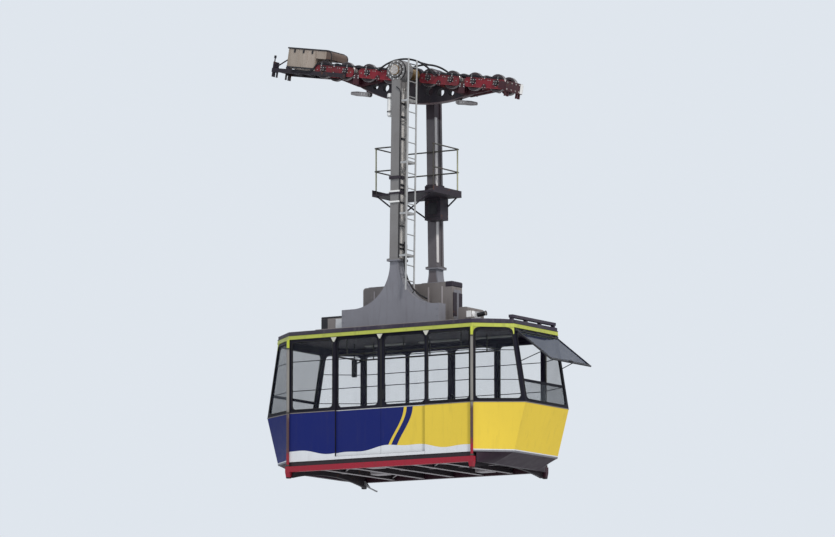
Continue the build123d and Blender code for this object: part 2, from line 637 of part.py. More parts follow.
def make_bases():
    """Flared base plates that spread each leg's load along the roof."""
    top, low = WALL_HEIGHT + FLARE_TOP - FLANGE, WALL_HEIGHT + FLARE_LOW
    half = LEG_X / 2
    for side, name in ((NEAR, "near"), (FAR, "far")):
        edge = Polyline((-half, top), (half, top))
        edge += Line((half, top), (half, low + FLARE_RADIUS))
        edge += RadiusArc((half, low + FLARE_RADIUS), (half + FLARE_RADIUS, low), -FLARE_RADIUS)
        edge += Polyline((half + FLARE_RADIUS, low), (BASE_DOWNHILL, low), (BASE_DOWNHILL, ROOF_TOP),
                         (-BASE_UPHILL, ROOF_TOP), (-BASE_UPHILL, low), (-half - FLARE_RADIUS, low))
        edge += RadiusArc((-half - FLARE_RADIUS, low), (-half, low + FLARE_RADIUS), -FLARE_RADIUS)
        edge += Line((-half, low + FLARE_RADIUS), (-half, top))
        profile = make_face(edge)
        centre = side * leg_y_at(WALL_HEIGHT + FLARE_TOP)
        outer, inner = centre + side * BASE_WIDTH / 2, centre - side * BASE_WIDTH / 2
        base = across(profile, inner, outer)
        pocket = offset(profile, -FLANGE, kind=Kind.INTERSECTION)
        base -= across(pocket, inner, outer - side * FLANGE)
        base += block((-LEG_X * 0.75, LEG_X * 0.75), (centre - LEG_Y * 0.58, centre + LEG_Y * 0.58),
                      (top, top + FLANGE))
        nodes[f"hanger_base_{name}"] = base


def make_roof_gear():
    """Central trunk between the bases, and the cases uphill and downhill of it."""
    half = ROOF_TRUNK_WIDTH / 2
    top = WALL_HEIGHT + ROOF_TRUNK_TOP
    trunk = block(ROOF_TRUNK_X, (-half, half), (ROOF_TOP, top))
    trunk = fillet(trunk.edges().filter_by(Axis.Y).group_by(Axis.Z)[-1], 60)
    for x in (-700, 500):
        trunk += block((x - 40, x + 40), (-leg_y_at(ROOF_TOP) + BASE_WIDTH / 2 - 60, -half),
                       (ROOF_TOP, ROOF_TOP + 260))
        trunk += block((x - 40, x + 40), (half, leg_y_at(ROOF_TOP) - BASE_WIDTH / 2 + 60),
                       (ROOF_TOP, ROOF_TOP + 260))
    nodes["roof_trunk"] = trunk - nodes["hanger_base_near"] - nodes["hanger_base_far"]
    # case: x from, x to, half width, height
    cases = {
        "roof_case_uphill": (-1870, -1300, 520, 300),
        "roof_case_downhill": (1130, 1340, 300, 330),
    }
    for name, (x0, x1, half_y, height) in cases.items():
        case = block((x0, x1), (-half_y, half_y), (ROOF_TOP, ROOF_TOP + height))
        nodes[name] = fillet(case.edges().filter_by(Axis.Y).group_by(Axis.Z)[-1], 40)
    deck = block((1130, 1700), (-520, 300), (ROOF_TOP, ROOF_TOP + 15))
    lamp = rod((1460, -420, ROOF_TOP), (1460, -420, ROOF_TOP + 90), 25)
    lamp += block((1410, 1540), (-480, -360), (ROOF_TOP + 90, ROOF_TOP + 230))
    camera = rod((1650, -300, ROOF_TOP), (1650, -300, ROOF_TOP + 120), 16)
    camera += rod((1570, -300, ROOF_TOP + 150), (1740, -300, ROOF_TOP + 175), 42)
    nodes["roof_case_downhill"] = joined([nodes["roof_case_downhill"], deck, lamp, camera])


def make_ladder():
    """Ladder on the downhill side of the near leg, from the flare past the axle."""
    place = leg_place(NEAR)
    foot = WALL_HEIGHT + LADDER_FOOT - AXLE_LEVEL
    ladder = None
    for y in (LADDER_OFFSET - LADDER_WIDTH / 2, LADDER_OFFSET + LADDER_WIDTH / 2):
        stringer = bar((LADDER_X, y, foot), (LADDER_X, y, LADDER_OVER), STRINGER_RADIUS)
        ladder = stringer if ladder is None else ladder + stringer
    for i in range(int((LADDER_OVER - foot) / RUNG_PITCH)):
        z = LADDER_OVER - RUNG_PITCH * (i + 0.5)
        ladder += bar((LADDER_X, LADDER_OFFSET - LADDER_WIDTH / 2, z),
                      (LADDER_X, LADDER_OFFSET + LADDER_WIDTH / 2, z), RUNG_RADIUS, 6)
    bracket_y = (LEG_Y + LEG_GROOVE_WIDTH) / 4
    for share in (0.14, 0.42, 0.65, 0.84):
        z = foot * share
        for y in (-bracket_y, bracket_y):
            ladder += block((LEG_X / 2, LADDER_X - 20), (y - 12, y + 12), (z - 20, z + 20))
        ladder += block((LADDER_X - 30, LADDER_X - 10), (LADDER_OFFSET - LADDER_WIDTH / 2, bracket_y + 12),
                        (z - 20, z + 20))
    nodes["ladder"] = place * ladder - nodes["hanger_base_near"]


def make_platform():
    """Service platform between the legs: deck on clamped joists, with braces below."""
    top = WALL_HEIGHT + PLATFORM_HEIGHT
    deck = block((-PLATFORM_X, PLATFORM_X), (-PLATFORM_Y, PLATFORM_Y), (top - DECK, top))
    legs = {side: nodes[f"hanger_leg_{name}"] for side, name in ((NEAR, "near"), (FAR, "far"))}
    for side in (NEAR, FAR):
        y = side * leg_y_at(top)
        for x in (-PLATFORM_X * 0.9, PLATFORM_X * 0.9):
            knee_x = math.copysign(LEG_X * 0.4, x)
            deck += bar((x, side * PLATFORM_Y * 0.92, top - DECK / 2),
                        (knee_x, side * (leg_y_at(top - 420) - LEG_Y / 2 + 6), top - 420), 16)
        for height in (-DECK, 250):
            collar = block((-LEG_X / 2 - 18, LEG_X / 2 + 18), (y - LEG_Y / 2 - 20, y + LEG_Y / 2 + 20),
                           (top + height - 30, top + height + 30))
            if height > 0:
                collar += block((-LEG_X / 2 - 18, -LEG_X / 2), (y - side * LEG_Y / 2, side * PLATFORM_Y * 0.9),
                                (top - DECK / 2, top + height))
            deck += collar
    for side in (NEAR, FAR):
        deck -= legs[side]
        core_y = side * leg_y_at(top)
        deck -= block((-LEG_X / 2, LEG_X / 2), (core_y - LEG_Y * 0.4, core_y + LEG_Y * 0.4),
                      (top - 200, top + 400))
    deck += block((40, 400), (PLATFORM_Y - 300, PLATFORM_Y - 10), (top - DECK - 430, top - DECK))
    nodes["platform"] = deck


def make_railing():
    """Posts and two rails round the platform, open beside the ladder."""
    deck = WALL_HEIGHT + PLATFORM_HEIGHT
    x, y = PLATFORM_X - RAILING_INSET, PLATFORM_Y - RAILING_INSET
    # run: corner points of one rail
    run = [(-LEG_X * 0.7, -y), (-x, -y), (-x, y), (x, y), (x, -y)]
    rails = []
    for height in (RAILING_HEIGHT / 2, RAILING_HEIGHT):
        points = [(px, py, deck + height) for px, py in run]
        rails.append(bent_bar(softened(points, RAILING_BEND), RAILING_RADIUS))
    clear = RAILING_BEND * 1.2
    posts = [(run[0][0] - RAILING_INSET, -y), (-x, clear - y), (-x, y - clear), (x, y - clear), (x, RAILING_INSET - y)]
    for px, py in posts:
        rails.append(bar((px, py, deck), (px, py, deck + RAILING_HEIGHT), RAILING_RADIUS * 0.9))
    nodes["platform_railing"] = joined(rails)


def make_canister():
    """Canister on brackets, on the uphill side of the near leg."""
    place = leg_place(NEAR)
    x, y = -LEG_X / 2 - CANISTER_RADIUS - CANISTER_STAND, -LEG_Y * 0.22
    canister = rod((x, y, CANISTER_LOW), (x, y, CANISTER_LOW + CANISTER_LENGTH), CANISTER_RADIUS)
    canister = chamfer(canister.edges().filter_by(GeomType.CIRCLE), CANISTER_RADIUS * 0.35)
    for share in (0.2, 0.8):
        z = CANISTER_LOW + CANISTER_LENGTH * share
        canister += block((x, -LEG_X / 2), (-LEG_Y * 0.48, LEG_Y * 0.4), (z - 15, z + 15))
    nodes["hanger_leg_near"] += place * canister


def make_hose():
    """Hose down the downhill side of the near leg and along the flare of its base."""
    hose_radius = 18
    joint = WALL_HEIGHT + FLARE_TOP
    low = WALL_HEIGHT + FLARE_LOW
    arc_y = -leg_y_at(joint)
    stand = LEG_X / 2 + FLANGE * 1.9 + hose_radius
    bend = FLARE_RADIUS - (stand - LEG_X / 2)
    path = Line((stand, -leg_y_at(AXLE_LEVEL - 330), AXLE_LEVEL - 330), (stand, arc_y, joint))
    line = [path @ 0, path @ 1]
    for angle in range(0, 71, 14):
        a = math.radians(angle)
        line.append(Vector(stand + bend - bend * math.cos(a), arc_y, low + FLARE_RADIUS - bend * math.sin(a)))
    hose = bent_bar(Polyline(*line), hose_radius)
    for share in (0.2, 0.5, 0.8):
        point = path @ share
        hose += block((LEG_X / 2, point.X), (point.Y - 110, point.Y - 85), (point.Z - 12, point.Z + 12))
        hose += block((point.X - 12, point.X + 12), (point.Y - 110, point.Y), (point.Z - 12, point.Z + 12))
    for angle in (20, 45):
        a = math.radians(angle)
        at = Vector(stand + bend - bend * math.cos(a), arc_y, low + FLARE_RADIUS - bend * math.sin(a))
        skin = Vector(stand + bend - (FLARE_RADIUS + 4) * math.cos(a), arc_y,
                      low + FLARE_RADIUS - (FLARE_RADIUS + 4) * math.sin(a))
        hose += bar(at, skin, 9, 6)
    nodes["leg_hose"] = hose - nodes["hanger_base_near"] - nodes["hanger_leg_near"]


# carriage

def link(p, q, radius_p, radius_q):
    """Tapered link plate outline between two round bosses, in x and z."""
    return make_hull((Pos(*p) * Circle(radius_p)).edges() + (Pos(*q) * Circle(radius_q)).edges())


def make_main_beam():
    """Fish-bellied beam between the ropes, with the axle hub and lugs for the haul rope."""
    x = BEAM_HALF_LENGTH
    edge = ThreePointArc((-x, BEAM_END_BOTTOM), (0, BEAM_MID_BOTTOM), (x, BEAM_END_BOTTOM))
    edge += Polyline((x, BEAM_END_BOTTOM), (x, BEAM_TOP), (-x, BEAM_TOP), (-x, BEAM_END_BOTTOM))
    beam = across(make_face(edge), -BEAM_WIDTH / 2, BEAM_WIDTH / 2)
    hub = link((0, PIVOT_HEIGHT), (0, 0), HUB_RADIUS, HUB_RADIUS * 1.6)
    beam += across(hub, -BEAM_WIDTH / 2, BEAM_WIDTH / 2)
    for end in (UPHILL, DOWNHILL):
        # weight-saving holes: x, z, radius
        for hole_x, hole_z, radius in ((380, -70, 85), (640, -70, 75), (880, -60, 62)):
            beam -= across(Pos(end * hole_x, hole_z) * Circle(radius), -BEAM_WIDTH, BEAM_WIDTH)
        lug = link((end * LUG_X, -HAUL_ROPE_DROP), (end * LUG_X, BEAM_END_BOTTOM), 48, 90)
        beam += across(lug, -LUG_THICKNESS / 2, LUG_THICKNESS / 2)
        for hole_x, hole_z, radius in ((LUG_X, -HAUL_ROPE_DROP, 20), (ROCKER_PIVOT_X, 0, 45)):
            beam -= across(Pos(end * hole_x, hole_z) * Circle(radius + RUNNING_FIT), -BEAM_WIDTH, BEAM_WIDTH)
    beam -= across(Pos(0, PIVOT_HEIGHT) * Circle(HANGER_AXLE_RADIUS + RUNNING_FIT), -BEAM_WIDTH, BEAM_WIDTH)
    nodes["main_beam"] = beam
    reach = LEG_TOP_Y + LEG_Y / 2 + 60
    axle = across(Pos(0, PIVOT_HEIGHT) * Circle(HANGER_AXLE_RADIUS), -reach, reach)
    for side in (NEAR, FAR):
        axle += across(Pos(0, PIVOT_HEIGHT) * Circle(HANGER_AXLE_RADIUS * 1.5), side * reach,
                       side * (reach - 22))
        axle += across(Pos(0, PIVOT_HEIGHT) * Circle(HANGER_AXLE_RADIUS * 1.6),
                       side * (BEAM_WIDTH / 2 + SEAT), side * (LEG_INSIDE - CAP_GAP))
    nodes["hanger_axle"] = axle


def make_haul_sockets():
    """Forked sockets pinned under the beam; the haul rope's end sits in each barrel."""
    for end, name in ((UPHILL, "uphill"), (DOWNHILL, "downhill")):
        z = -HAUL_ROPE_DROP
        socket = rod((end * (LUG_X + 170), 0, z), (end * (LUG_X + 290), 0, z), 46)
        socket += Solid.make_cone(46, 32, 130, Plane(origin=(end * (LUG_X + 290), 0, z), z_dir=(end, 0, 0)))
        for side in (NEAR, FAR):
            cheek = link((end * LUG_X, z), (end * (LUG_X + 180), z), 44, 40)
            socket += across(cheek, side * (LUG_THICKNESS / 2 + SEAT), side * LUG_THICKNESS)
        socket += block((end * (LUG_X + 90), end * (LUG_X + 175)), (-LUG_THICKNESS, LUG_THICKNESS), (z - 38, z + 38))
        socket += across(Pos(end * LUG_X, z) * Circle(20), -58, 58)
        socket -= rod((end * (LUG_X + 230), 0, z), (end * (LUG_X + 460), 0, z), HAUL_ROPE_RADIUS + 0.5)
        nodes[f"haul_socket_{name}"] = socket


def make_rockers():
    """Balance beams: two plates a side of the main beam, with the pins that the bogies turn on."""
    inner = BEAM_WIDTH / 2 + ROCKER_GAP
    outer = INNER_PLATE - ROCKER_GAP / 2
    arm = BOGIE_PITCH / 2
    for end, name in ((UPHILL, "uphill"), (DOWNHILL, "downhill")):
        x = end * ROCKER_PIVOT_X
        rocker = None
        for side in (NEAR, FAR):
            plate = link((x, 0), (x - arm, BOGIE_PIN_HEIGHT), 105, 60)
            plate += link((x, 0), (x + arm, BOGIE_PIN_HEIGHT), 105, 60)
            plate = across(plate, side * inner, side * outer)
            rocker = plate if rocker is None else rocker + plate
        rocker += across(Pos(x, 0) * Circle(45), -outer - 12, outer + 12)
        for pin_x in (x - arm, x + arm):
            pin = Pos(pin_x, BOGIE_PIN_HEIGHT) * Circle(BOGIE_PIN_RADIUS)
            for side in (NEAR, FAR):
                rocker += across(pin, side * inner, side * PLATE_OUTSIDE)
        nodes[f"rocker_{name}"] = rocker


def bogie_centres():
    """Place along the line of each bogie, uphill first."""
    arm = BOGIE_PITCH / 2
    return [end * ROCKER_PIVOT_X + step for end in (UPHILL, DOWNHILL) for step in (-arm, arm)]


def make_bogies():
    for number, x in enumerate(bogie_centres(), 1):
        height = BOGIE_PLATE_HIGH - BOGIE_PLATE_LOW
        side = Pos(x, (BOGIE_PLATE_HIGH + BOGIE_PLATE_LOW) / 2) * RectangleRounded(
            BOGIE_PLATE_LENGTH, height, height * 0.3)
        side += Pos(x, BOGIE_PIN_HEIGHT) * Circle(BOGIE_PIN_RADIUS + 24)
        for axle_x in (x - WHEEL_PITCH / 2, x + WHEEL_PITCH / 2):
            side -= Pos(axle_x, AXLE_HEIGHT) * Circle(AXLE_RADIUS + RUNNING_FIT)
        side -= Pos(x, BOGIE_PIN_HEIGHT) * Circle(BOGIE_PIN_RADIUS + RUNNING_FIT)
        bogie = None
        for face in (INNER_PLATE, OUTER_PLATE):
            for hand in (NEAR, FAR):
                plate = across(side, hand * face, hand * (face + PLATE_THICKNESS))
                bogie = plate if bogie is None else bogie + plate
        tie = Pos(x, BOGIE_PLATE_HIGH - 28) * Circle(24)
        bogie += across(tie, -PLATE_OUTSIDE, PLATE_OUTSIDE)
        nodes[f"bogie_{number}"] = bogie


def make_wheels():
    """Grooved rope wheels, two on each axle; the groove fits the track rope."""
    half = WHEEL_WIDTH / 2
    groove = AXLE_HEIGHT - ROPE_RADIUS

    def turned(radius, y0, y1, taper=0.0):
        """A drum about the wheel's axle, with flats in place of a round skin."""
        face = Plane(origin=(0, y0, 0), x_dir=(1, 0, 0), z_dir=(0, 1 if y1 > y0 else -1, 0))
        return extrude(face * RegularPolygon(radius, WHEEL_SIDES), abs(y1 - y0), taper=taper)

    disc = turned(groove, -half, half)
    slope = math.degrees(math.atan2(WHEEL_RADIUS - groove, half - WHEEL_FLANGE - ROPE_RADIUS * 0.6))
    for side in (NEAR, FAR):
        disc += turned(WHEEL_RADIUS, side * half, side * (half - WHEEL_FLANGE))
        disc += turned(WHEEL_RADIUS, side * (half - WHEEL_FLANGE), side * ROPE_RADIUS * 0.6, slope)
        pocket = turned(groove - WHEEL_RIM, side * (half + 1), side * WHEEL_WEB / 2)
        disc -= pocket - turned(WHEEL_HUB_RADIUS, side * (half + 1), side * WHEEL_WEB / 2)
    number = 0
    for centre in bogie_centres():
        for x in (centre - WHEEL_PITCH / 2, centre + WHEEL_PITCH / 2):
            number += 1
            tip = PLATE_OUTSIDE + CAP_GAP + 16
            wheelset = across(Pos(x, AXLE_HEIGHT) * Circle(AXLE_RADIUS), -tip, tip)
            for side in (NEAR, FAR):
                wheelset += Pos(x, side * ROPE_GAUGE / 2, AXLE_HEIGHT) * disc
                wheelset += across(Pos(x, AXLE_HEIGHT) * Circle(AXLE_CAP_RADIUS), side * tip, side * (tip - 16))
            nodes[f"wheelset_{number}"] = wheelset


def make_rope_brakes():
    """Track rope brakes on the rockers: a yoke over each rope, a cheek on both sides, one cross tube."""
    slot_top = ROPE_RADIUS + JAW_GAP
    for end, name in ((UPHILL, "uphill"), (DOWNHILL, "downhill")):
        x = end * ROCKER_PIVOT_X
        span = (x - JAW_LENGTH / 2, x + JAW_LENGTH / 2)
        brake = across(Pos(x, JAW_HIGH - BRAKE_TUBE_RADIUS) * Circle(BRAKE_TUBE_RADIUS), -WHEEL_OUTER, WHEEL_OUTER)
        for side in (NEAR, FAR):
            y = side * ROPE_GAUGE / 2
            yoke = block(span, (y - JAW_HALF_WIDTH, y + JAW_HALF_WIDTH), (slot_top, JAW_HIGH))
            brake += chamfer(yoke.edges().filter_by(Axis.Y).group_by(Axis.Z)[-1], JAW_HALF_WIDTH * 0.7)
            for hand in (NEAR, FAR):
                brake += block(span, (y + hand * slot_top, y + hand * JAW_HALF_WIDTH), (JAW_LOW, slot_top - SEAT))
            brake += block((x - 40, x + 40), (side * (INNER_PLATE - ROCKER_GAP / 2), y - side * (JAW_HALF_WIDTH - 5)),
                           (-40, slot_top - SEAT))
        nodes[f"rocker_{name}"] += brake


def make_guard_hoops():
    """Two thin hoops over the hub, clear of the legs, on stubs from the inner bogies."""
    y = (PLATE_OUTSIDE + LEG_INSIDE) / 2 + 12
    foot_x, foot_z, crown = 650.0, BOGIE_PLATE_HIGH - 22, 490.0
    hoops = None
    arc = ThreePointArc((-foot_x, foot_z), (0, crown), (foot_x, foot_z))
    for side in (NEAR, FAR):
        line = [arc @ (step / 10) for step in range(11)]
        hoop = bent_bar(Polyline(*[(point.X, side * y, point.Y) for point in line]), 12)
        hoops = hoop if hoops is None else hoops + hoop
        for x in (-foot_x, foot_x):
            hoops += bar((x, side * PLATE_OUTSIDE, foot_z), (x, side * (y + 12), foot_z), 14)
    for share in (0.32, 0.68):
        point = arc @ share
        hoops += bar((point.X, -y, point.Y), (point.X, y, point.Y), 10)
    nodes["guard_hoops"] = hoops


def make_uphill_extension():
    """Frame beyond the uphill bogie that carries the equipment case, with rope guides at its end."""
    inside = PLATE_OUTSIDE
    outside = inside + FRAME_RAIL
    guide_x = FRAME_TAIL + GUIDE_THICKNESS
    cross_low = FRAME_LOW + 25
    supports = (CASE_UPHILL + 40, CASE_STEP - 55)
    frame = None
    for side in (NEAR, FAR):
        rail = block((FRAME_TAIL, FRAME_ROOT), (side * inside, side * outside), (FRAME_LOW, FRAME_HIGH))
        frame = rail if frame is None else frame + rail
        for x in supports:
            frame += block((x - 30, x + 30), (side * inside, side * outside), (cross_low, CASE_LOW))
    for x in (guide_x, sum(supports) / 2, *supports):
        frame += block((x - 30, x + 30), (-outside, outside), (cross_low, FRAME_HIGH))
    for side in (NEAR, FAR):
        y = side * (inside + outside) / 2
        frame += bar((guide_x, y, FRAME_HIGH - 15), (CASE_UPHILL, y - side * FRAME_RAIL, CASE_LOW + 150), 14)
        frame += block((guide_x - GUIDE_THICKNESS / 2, guide_x + GUIDE_THICKNESS / 2),
                       (side * (ROPE_GAUGE / 2 - 60), side * outside), (-60, 240))
        rope_y = side * ROPE_GAUGE / 2
        frame -= block((FRAME_TAIL - 1, guide_x + GUIDE_THICKNESS), (rope_y - GUIDE_GAP, rope_y + GUIDE_GAP),
                       (-70, GUIDE_GAP))
    case = Polyline((CASE_UPHILL, CASE_LOW), (CASE_STEP, CASE_LOW), (CASE_STEP, CASE_STEP_LOW),
                    (CASE_DOWNHILL, CASE_STEP_LOW), (CASE_DOWNHILL, CASE_TOP - CASE_ROUND))
    case += RadiusArc((CASE_DOWNHILL, CASE_TOP - CASE_ROUND), (CASE_DOWNHILL - CASE_ROUND, CASE_TOP), CASE_ROUND)
    case += Polyline((CASE_DOWNHILL - CASE_ROUND, CASE_TOP), (CASE_UPHILL, CASE_TOP), (CASE_UPHILL, CASE_LOW))
    case = across(make_face(case), -inside, inside)
    nodes["uphill_frame"] = frame - case
    nodes["equipment_case"] = case + block((CASE_UPHILL - 20, CASE_DOWNHILL - CASE_ROUND - 5),
                                           (-inside - 12, inside + 12), (CASE_TOP, CASE_TOP + CASE_LID))


def make_downhill_guide():
    """Rope guide with a pale end plate beyond the last downhill bogie."""
    middle = (BOGIE_PLATE_LOW + BOGIE_PLATE_HIGH) / 2 - 15
    guide = block((NOSE_INSIDE, NOSE_TIP), (-PLATE_OUTSIDE, PLATE_OUTSIDE), (BOGIE_PLATE_LOW, middle + 55))
    for side in (NEAR, FAR):
        cheek = outline_xz([(NOSE_ROOT, 90), (NOSE_TIP + 9, 50), (NOSE_TIP + 9, 205), (NOSE_ROOT + 60, 225),
                            (NOSE_ROOT, 200)])
        guide += across(cheek, side * PLATE_OUTSIDE, side * (PLATE_OUTSIDE + NOSE_CHEEK))
        y = side * ROPE_GAUGE / 2
        guide += block((NOSE_INSIDE, NOSE_TIP), (y - 60, y + 60), (-55, BOGIE_PLATE_LOW))
        guide -= block((NOSE_INSIDE - 10, NOSE_TIP + 10), (y - NOSE_SLOT, y + NOSE_SLOT), (-60, NOSE_SLOT + 2))
    face = Plane(origin=(NOSE_TIP - 2, 0, middle), x_dir=(0, 1, 0), z_dir=(1, 0, 0))
    plate = face * RectangleRounded(2 * (PLATE_OUTSIDE + NOSE_CHEEK) + 8, NOSE_PLATE_HEIGHT, 30)
    nodes["downhill_guide"] = guide + extrude(plate, 20)


def make_carriage():
    make_main_beam()
    make_haul_sockets()
    make_rockers()
    make_bogies()
    make_wheels()
    make_rope_brakes()
    make_guard_hoops()
    make_uphill_extension()
    make_downhill_guide()
    for name in list(nodes):
        nodes[name] = on_rope(nodes[name])


def make_hanger_and_cabin():
    carriage = list(nodes)
    make_corner_walls()
    make_end_walls()
    make_flap()
    make_side_walls()
    make_doors()
    make_floor_and_roof()
    make_underframe()
    make_side_frames()
    make_bellies()
    make_grab_rail()
    nodes["glazing"] = joined(panes)
    make_legs()
    make_bases()
    make_roof_gear()
    make_ladder()
    make_platform()
    make_railing()
    make_canister()
    make_hose()
    for name in list(nodes):
        if name not in carriage:
            nodes[name] = hung(nodes[name])


make_carriage()
make_hanger_and_cabin()
os.makedirs("parts", exist_ok=True)
for name, shape in nodes.items():
    export_step(shape, f"parts/{name}.step")
print(len(nodes), "nodes")
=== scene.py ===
import math
import bmesh
import bpy
from mathutils import Matrix, Vector


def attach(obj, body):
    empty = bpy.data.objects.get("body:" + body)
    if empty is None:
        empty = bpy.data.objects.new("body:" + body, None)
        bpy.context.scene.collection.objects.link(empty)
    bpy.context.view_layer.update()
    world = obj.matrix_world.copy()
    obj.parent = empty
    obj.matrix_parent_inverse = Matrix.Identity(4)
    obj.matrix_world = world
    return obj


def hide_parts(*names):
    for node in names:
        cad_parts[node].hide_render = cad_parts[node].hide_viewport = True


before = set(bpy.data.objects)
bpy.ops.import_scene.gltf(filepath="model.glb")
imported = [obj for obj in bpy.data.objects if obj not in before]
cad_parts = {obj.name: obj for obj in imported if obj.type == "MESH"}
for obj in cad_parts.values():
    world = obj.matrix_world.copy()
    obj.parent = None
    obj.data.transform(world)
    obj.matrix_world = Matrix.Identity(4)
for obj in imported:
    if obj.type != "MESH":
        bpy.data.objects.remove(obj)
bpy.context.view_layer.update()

print("frame loaded:", len(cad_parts), "nodes")

# metres; these repeat the sizes of the part's source
line = {"slope": math.radians(9), "ropeY": 0.21}
cabin = {"halfLength": 2.075, "halfWidth": 1.345, "endWidth": 1.62, "cornerRun": 0.6, "beltRun": 0.86,
         "height": 2.46, "belt": 0.945, "bandHeight": 0.08, "bandProud": 0.015, "doorBay": 1.02,
         "mullion": 0.055, "post": 0.062, "sill": 0.062, "head": 0.058, "windowRadius": 0.09,
         "doorInset": 0.046, "roofTop": 2.59}
hanger = {"axleLevel": 7.58, "pivotHeight": 0.22, "legTopY": 0.62, "legFootY": 0.74, "legX": 0.19,
          "jointLevel": 3.86, "flange": 0.025, "flareLow": 2.96, "baseWidth": 0.24}
carriageBody, hangerBody = "carriage", "hanger_and_cabin"
tilt = Matrix.Rotation(line["slope"], 4, "Y")
plumb = Matrix.Translation((hanger["pivotHeight"] * math.sin(line["slope"]), 0,
                            hanger["pivotHeight"] * math.cos(line["slope"]) - hanger["axleLevel"]))
frames = {carriageBody: tilt, hangerBody: plumb}
near, far, uphill, downhill = -1, 1, -1, 1
sideNames, endNames = {near: "near", far: "far"}, {uphill: "uphill", downhill: "downhill"}
walls = ("corner_near_downhill", "end_downhill", "corner_far_downhill", "side_far",  # seen from above,
         "corner_far_uphill", "end_uphill", "corner_near_uphill", "side_near")       # against the clock


def cornerRun(z):  # how far an end wall stands beyond the long walls
    if z < cabin["belt"]:
        return cabin["cornerRun"] + (cabin["beltRun"] - cabin["cornerRun"]) * z / cabin["belt"]
    share = (z - cabin["belt"]) / (cabin["height"] - cabin["belt"])
    return cabin["beltRun"] + (cabin["cornerRun"] - cabin["beltRun"]) * share


def octagon(z, inset=0.0):  # the shell's eight corners at a height
    endX, endY = cabin["halfLength"] + cornerRun(min(z, cabin["height"])), cabin["endWidth"] / 2
    half = [(cabin["halfLength"], -cabin["halfWidth"]), (endX, -endY), (endX, endY),
            (cabin["halfLength"], cabin["halfWidth"])]
    corners = [Vector(p) for p in half] + [Vector((-x, -y)) for x, y in half]
    moved = []
    for i, corner in enumerate(corners):
        before = (corner - corners[i - 1]).normalized()
        after = (corners[(i + 1) % 8] - corner).normalized()
        a, b = Vector((-before.y, before.x)), Vector((-after.y, after.x))
        p = corner + (a + b) * (inset / (1 + a.dot(b)))
        moved.append(Vector((p.x, p.y, z)))
    return moved


def wallCorners(wall, z, proud=0.0):
    i, corners = walls.index(wall), octagon(z, -proud)
    return corners[i], corners[(i + 1) % 8]


def wallAxis(wall):  # a wall's first foot corner and its level direction
    a, b = wallCorners(wall, 0)
    beltA, beltB = wallCorners(wall, cabin["belt"])
    along = b + beltB - a - beltA
    along.z = 0
    return a, along.normalized()


def outwardOf(wall):
    along = wallAxis(wall)[1]
    return Vector((along.y, -along.x, 0))


def wallSpot(wall, u, z, proud=0.0):  # the point of a wall's outer face at a distance along it
    start, along = wallAxis(wall)
    a, b = wallCorners(wall, z, proud)
    return a.lerp(b, (u - (a - start).dot(along)) / (b - a).dot(along))


def wallEnds(wall, z, proud=0.0):  # both ends of a wall at a height, as distances along it
    start, along = wallAxis(wall)
    return [(corner - start).dot(along) for corner in wallCorners(wall, z, proud)]


def legY(z):
    share = (hanger["axleLevel"] - z) / (hanger["axleLevel"] - cabin["roofTop"])
    return hanger["legTopY"] + (hanger["legFootY"] - hanger["legTopY"]) * share


def legPlace(side):  # origin on the axle, +z up the leg
    lean = math.atan2(hanger["legFootY"] - hanger["legTopY"], hanger["axleLevel"] - cabin["roofTop"])
    top = Matrix.Translation((0, side * hanger["legTopY"], hanger["axleLevel"]))
    return plumb @ top @ Matrix.Rotation(side * lean, 4, "X")


# materials

looks = {}


def newMaterial(name):
    material = looks[name] = bpy.data.materials.new(name)
    material.use_nodes = True
    return material.node_tree, material.node_tree.nodes["Principled BSDF"]


def feed(tree, socket, value):
    if isinstance(value, (int, float, tuple, str)):
        socket.default_value = value
    else:
        tree.links.new(value, socket)


def step(tree, kind, inputs, **choices):  # one node with its settings and inputs
    node = tree.nodes.new(kind)
    for label, value in choices.items():
        setattr(node, label, value)
    for label, value in inputs.items():
        feed(tree, node.inputs[label], value)
    return node.outputs[0]


def calc(tree, operation, *values):
    node = tree.nodes.new("ShaderNodeMath")
    node.operation = operation
    for socket, value in zip(node.inputs, values):
        feed(tree, socket, value)
    return node.outputs[0]


def mixed(tree, factor, a, b):
    node = tree.nodes.new("ShaderNodeMix")
    node.data_type = "RGBA"
    feed(tree, node.inputs[0], factor)
    for socket, value in ((node.inputs[6], a), (node.inputs[7], b)):
        feed(tree, socket, (*value, 1) if isinstance(value, tuple) and len(value) == 3 else value)
    return node.outputs[2]


def objectPoint(tree, offset=(0, 0, 0), scale=(1, 1, 1)):
    point = tree.nodes.new("ShaderNodeTexCoord").outputs["Object"]
    return step(tree, "ShaderNodeMapping", {"Vector": point, "Location": offset, "Scale": scale})


def cabinPoint(tree):  # x, y and z from the middle of the cabin's floor
    node = tree.nodes.new("ShaderNodeSeparateXYZ")
    tree.links.new(objectPoint(tree, offset=tuple(-plumb.translation)), node.inputs[0])
    return node.outputs


def noise(tree, scale, detail, rough=0.55, stretch=(1, 1, 1)):
    return step(tree, "ShaderNodeTexNoise", {"Vector": objectPoint(tree, scale=stretch), "Scale": scale,
                                             "Detail": detail, "Roughness": rough})


def between(tree, value, low, high):  # 0 below low, 1 above high, smooth between
    return step(tree, "ShaderNodeMapRange", {"Value": value, "From Min": low, "From Max": high},
                interpolation_type="SMOOTHSTEP")


